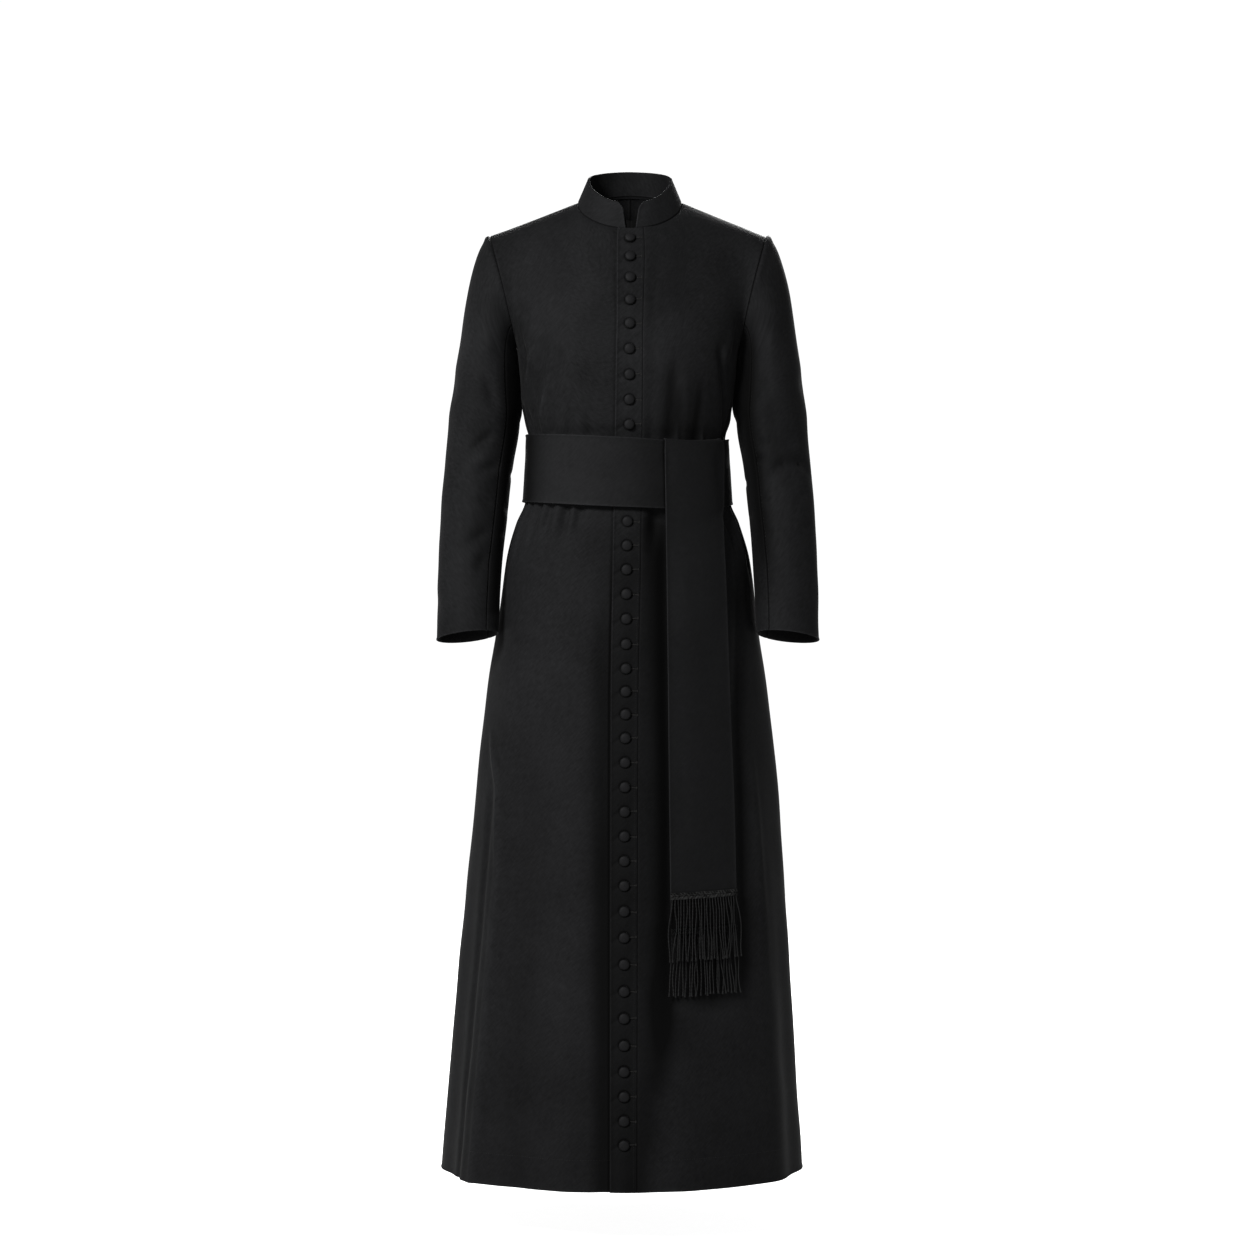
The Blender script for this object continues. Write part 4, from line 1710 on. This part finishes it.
stitch_row("stitches_band_seam", band_line, float(fallen(BAND_TO) - fallen(BAND_FROM)))


def sleeve_line(side):
    """Beside the front seam of a sleeve, on its upper piece."""
    def line(share):
        drop = SLEEVE_FROM + (SLEEVE_TO - SLEEVE_FROM) * share
        turn = np.full(np.shape(share), SLEEVE_SEAM - SLEEVE_STITCH_DEGREES)
        point, outward = sleeve_at(side, turn, drop)
        return point + outward * sleeve_relief(side, turn, point)[..., None], outward

    return line


for side, word in ((-1, "right"), (1, "left")):
    stitch_row(f"stitches_sleeve_{word}", sleeve_line(side), SLEEVE_SEAM_M)

hem_drop = np.array(2 - HEM_STITCH / (CHEST - HEM))


def hem_line(start, end):
    """Above the hem, from one angle to another."""
    def line(share):
        angle = start + (end - start) * share
        point, outward = body_at(angle, np.full(np.shape(share), hem_drop))
        return point + outward * body_relief(angle, point)[..., None], outward

    return line


for word, (start, end, lift, _, _) in PANELS.items():
    first, last = float(start(hem_drop)) + (LIFT_FADE if lift else 0.0), float(end(hem_drop))
    stitch_row(f"stitches_hem_{word}", hem_line(first + HEM_CLEAR, last - HEM_CLEAR),
               math.radians(last - first) * HEM_REACH)

# %% [markdown]
# ## Finishes
#
# Black wool cloth isn't black all over: it is a dark charcoal with a soft sheen where it turns away, a fine
# diagonal twill and a slight unevenness from wear and pressing. The finishes read the map in metres that every
# piece carries, so a thread is the same size everywhere.

# %% Materials
GRAIN_LEAN, GRAIN_M = 42.0, (0.0027, 0.0115)


def make_cloth(name, colour, twill_m, roughness, sheen, depth, variation):
    """A twill: diagonal ribs across the map, a stretched grain and a broad unevenness."""
    material = bpy.data.materials.new(name)
    material.use_nodes = True
    tree = material.node_tree

    def fill(node, **values):
        """Puts numbers or other nodes' outputs into a node's sockets."""
        for word, value in values.items():
            socket = node.inputs[word.replace("_", " ")]
            if isinstance(value, bpy.types.NodeSocket):
                tree.links.new(value, socket)
            else:
                socket.default_value = value

    def add(kind, settings=(), **values):
        """A new node with its settings and its sockets' values."""
        node = tree.nodes.new(f"ShaderNode{kind}")
        for word, value in dict(settings).items():
            setattr(node, word, value)
        fill(node, **values)
        return node.outputs

    def mix(factor, a, b):
        return add("Mix", {"data_type": "FLOAT"}, Factor=factor, A=a, B=b)["Result"]

    uv = add("UVMap", {"uv_map": "cloth"})["UV"]
    ribs = add("TexWave", {"wave_type": "BANDS", "bands_direction": "DIAGONAL", "wave_profile": "SIN"},
               Scale=1 / twill_m / 3.5, Distortion=0.6, Detail=1.0, Detail_Scale=2.0, Vector=uv)["Fac"]
    grains = []
    for lean in (GRAIN_LEAN, -GRAIN_LEAN):
        leaned = add("Mapping", {"vector_type": "TEXTURE"}, Rotation=(0.0, 0.0, math.radians(lean)),
                     Scale=(*GRAIN_M, 1.0), Vector=uv)["Vector"]
        grains.append(add("TexNoise", Scale=1.0, Detail=3.0, Vector=leaned)["Fac"])
    grain = mix(0.35, *grains)
    broad = add("TexNoise", Scale=7.0, Detail=4.0, Roughness=0.6, Vector=add("TexCoord")["Object"])["Fac"]
    tone = add("MapRange", From_Min=0.3, From_Max=0.7, To_Min=1 - variation, To_Max=1 + variation,
               Value=mix(0.42, grain, broad))["Result"]
    worn = add("Attribute", {"attribute_name": "worn"})["Fac"]
    wear = add("MapRange", From_Min=-0.97, From_Max=0.97, To_Min=0.03, To_Max=1.97, Value=worn)["Result"]
    shade = tree.nodes.new("ShaderNodeMath")
    shade.operation = "MULTIPLY"
    tree.links.new(tone, shade.inputs[0])
    tree.links.new(wear, shade.inputs[1])
    tint = tree.nodes.new("ShaderNodeVectorMath")
    tint.operation = "SCALE"
    tint.inputs[0].default_value = colour
    fill(tint, Scale=shade.outputs["Value"])
    bump = add("Bump", Strength=depth, Distance=0.0002, Height=mix(0.4, ribs, grain))["Normal"]
    fill(tree.nodes["Principled BSDF"], Roughness=roughness, Sheen_Weight=sheen, Sheen_Roughness=0.45,
         Specular_IOR_Level=0.08, Metallic=0.0, Base_Color=tint.outputs["Vector"], Normal=bump)
    return material


# pieces whose names start so, material, colour, twill_m, roughness, sheen, depth, variation
FINISHES = (
    ("cloth_", "cassock_twill", (0.0068, 0.0069, 0.0073), 0.0012, 0.78, 0.02, 0.5, 0.66),
    ("sash_band", "sash_twill", (0.0072, 0.0073, 0.0077), 0.0010, 0.72, 0.02, 0.4, 0.46),
    ("sash_fringe", "fringe_cord", (0.0100, 0.0102, 0.0102), 0.0008, 0.70, 0.02, 0.3, 0.40),
    ("sash_braid", "braid_cord", (0.0190, 0.0192, 0.0188), 0.0008, 0.60, 0.02, 0.3, 0.80),
    ("cover_", "button_cloth", (0.0064, 0.0064, 0.0068), 0.0010, 0.62, 0.02, 0.4, 0.10),
    ("thread_", "buttonhole_thread", (0.0190, 0.0186, 0.0180), 0.0008, 0.60, 0.03, 0.2, 0.15),
    ("stitches_", "sewing_thread", (0.0125, 0.0125, 0.0125), 0.0008, 0.60, 0.03, 0.2, 0.15),
    ("sash_end", "sash_end_twill", (0.005904, 0.005986, 0.006314), 0.0010, 0.72, 0.02, 0.4, 0.36),
)
for start, *finish in FINISHES:
    material = make_cloth(*finish)
    dressed = [piece for piece in bpy.data.objects if piece.type == "MESH" and piece.name.startswith(start)
               and "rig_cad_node" not in piece]
    for piece in dressed:
        piece.data.materials.clear()
        piece.data.materials.append(material)
    print(f"{material.name}: {len(dressed)} pieces")

# %% [markdown]
# ## Camera, floor and light
#
# A garment is shown level, from the height of its own middle and from far enough away that its lines stay
# straight. A pale floor and wall and one broad soft light keep its dark cloth readable.

# %% Camera
CAMERA_AT, LENS = (-0.0046, -5.0, -0.6553), 92.87
camera = bpy.data.objects.new("camera", bpy.data.cameras.new("camera"))
camera.location = CAMERA_AT
camera.rotation_euler = (math.radians(90), 0, 0)
camera.data.lens, camera.data.sensor_width = LENS, 36.0
bpy.context.scene.collection.objects.link(camera)
bpy.context.scene.camera = camera

# %% Floor and light
FLOOR_LEVEL, FLOOR_HALF = -1.57, 6.0
FLOOR_GLOW = 0.95
WALL_TOP, CEILING_FROM, WALL_LIGHT, CEILING_LIGHT = 0.20, 0.50, 1.03, 0.12


def make_floor():
    """A pale floor of frosted glass, lit from below, so that shadows on it stay faint."""
    bm = bmesh.new()
    bmesh.ops.create_grid(bm, x_segments=1, y_segments=1, size=FLOOR_HALF)
    mesh = bpy.data.meshes.new("floor")
    bm.to_mesh(mesh)
    bm.free()
    floor = bpy.data.objects.new("floor", mesh)
    floor.location = (0, 0, FLOOR_LEVEL)
    bpy.context.scene.collection.objects.link(floor)
    glass = bpy.data.materials.new("frosted_floor")
    glass.use_nodes = True
    shader = glass.node_tree.nodes["Principled BSDF"]
    shader.inputs["Base Color"].default_value = (0.30, 0.30, 0.30, 1)
    shader.inputs["Roughness"].default_value = 0.9
    shader.inputs["Emission Color"].default_value = (1, 1, 1, 1)
    shader.inputs["Emission Strength"].default_value = FLOOR_GLOW
    mesh.materials.append(glass)


def make_walls():
    """White walls all round and a dim ceiling above them."""
    world = bpy.data.worlds.new("studio")
    world.use_nodes = True
    nodes, links = world.node_tree.nodes, world.node_tree.links
    way = nodes.new("ShaderNodeTexCoord")
    height = nodes.new("ShaderNodeSeparateXYZ")
    walls = nodes.new("ShaderNodeMapRange")
    walls.interpolation_type = "SMOOTHSTEP"
    walls.inputs["From Min"].default_value, walls.inputs["From Max"].default_value = WALL_TOP, CEILING_FROM
    walls.inputs["To Min"].default_value, walls.inputs["To Max"].default_value = WALL_LIGHT, CEILING_LIGHT
    links.new(way.outputs["Generated"], height.inputs["Vector"])
    links.new(height.outputs["Z"], walls.inputs["Value"])
    links.new(walls.outputs["Result"], nodes["Background"].inputs["Strength"])
    nodes["Background"].inputs["Color"].default_value = (1, 1, 1, 1)
    return world


def area_light(name, at, aim, size, watts):
    """A square soft light that points at a spot."""
    light = bpy.data.objects.new(name, bpy.data.lights.new(name, "AREA"))
    light.data.size, light.data.energy = size, watts
    light.location = at
    light.rotation_euler = (Vector(aim) - Vector(at)).to_track_quat("-Z", "Y").to_euler()
    bpy.context.scene.collection.objects.link(light)


make_floor()
bpy.context.scene.world = make_walls()
bpy.context.scene.view_settings.view_transform = "Standard"
bpy.context.scene.view_settings.gamma = 0.80
area_light("key", (-2.2, -3.2, 1.6), (0, 0, -0.6), 1.2, 480)
area_light("behind", (0.6, 3.8, 2.0), (0, 0, -0.6), 2.0, 420)
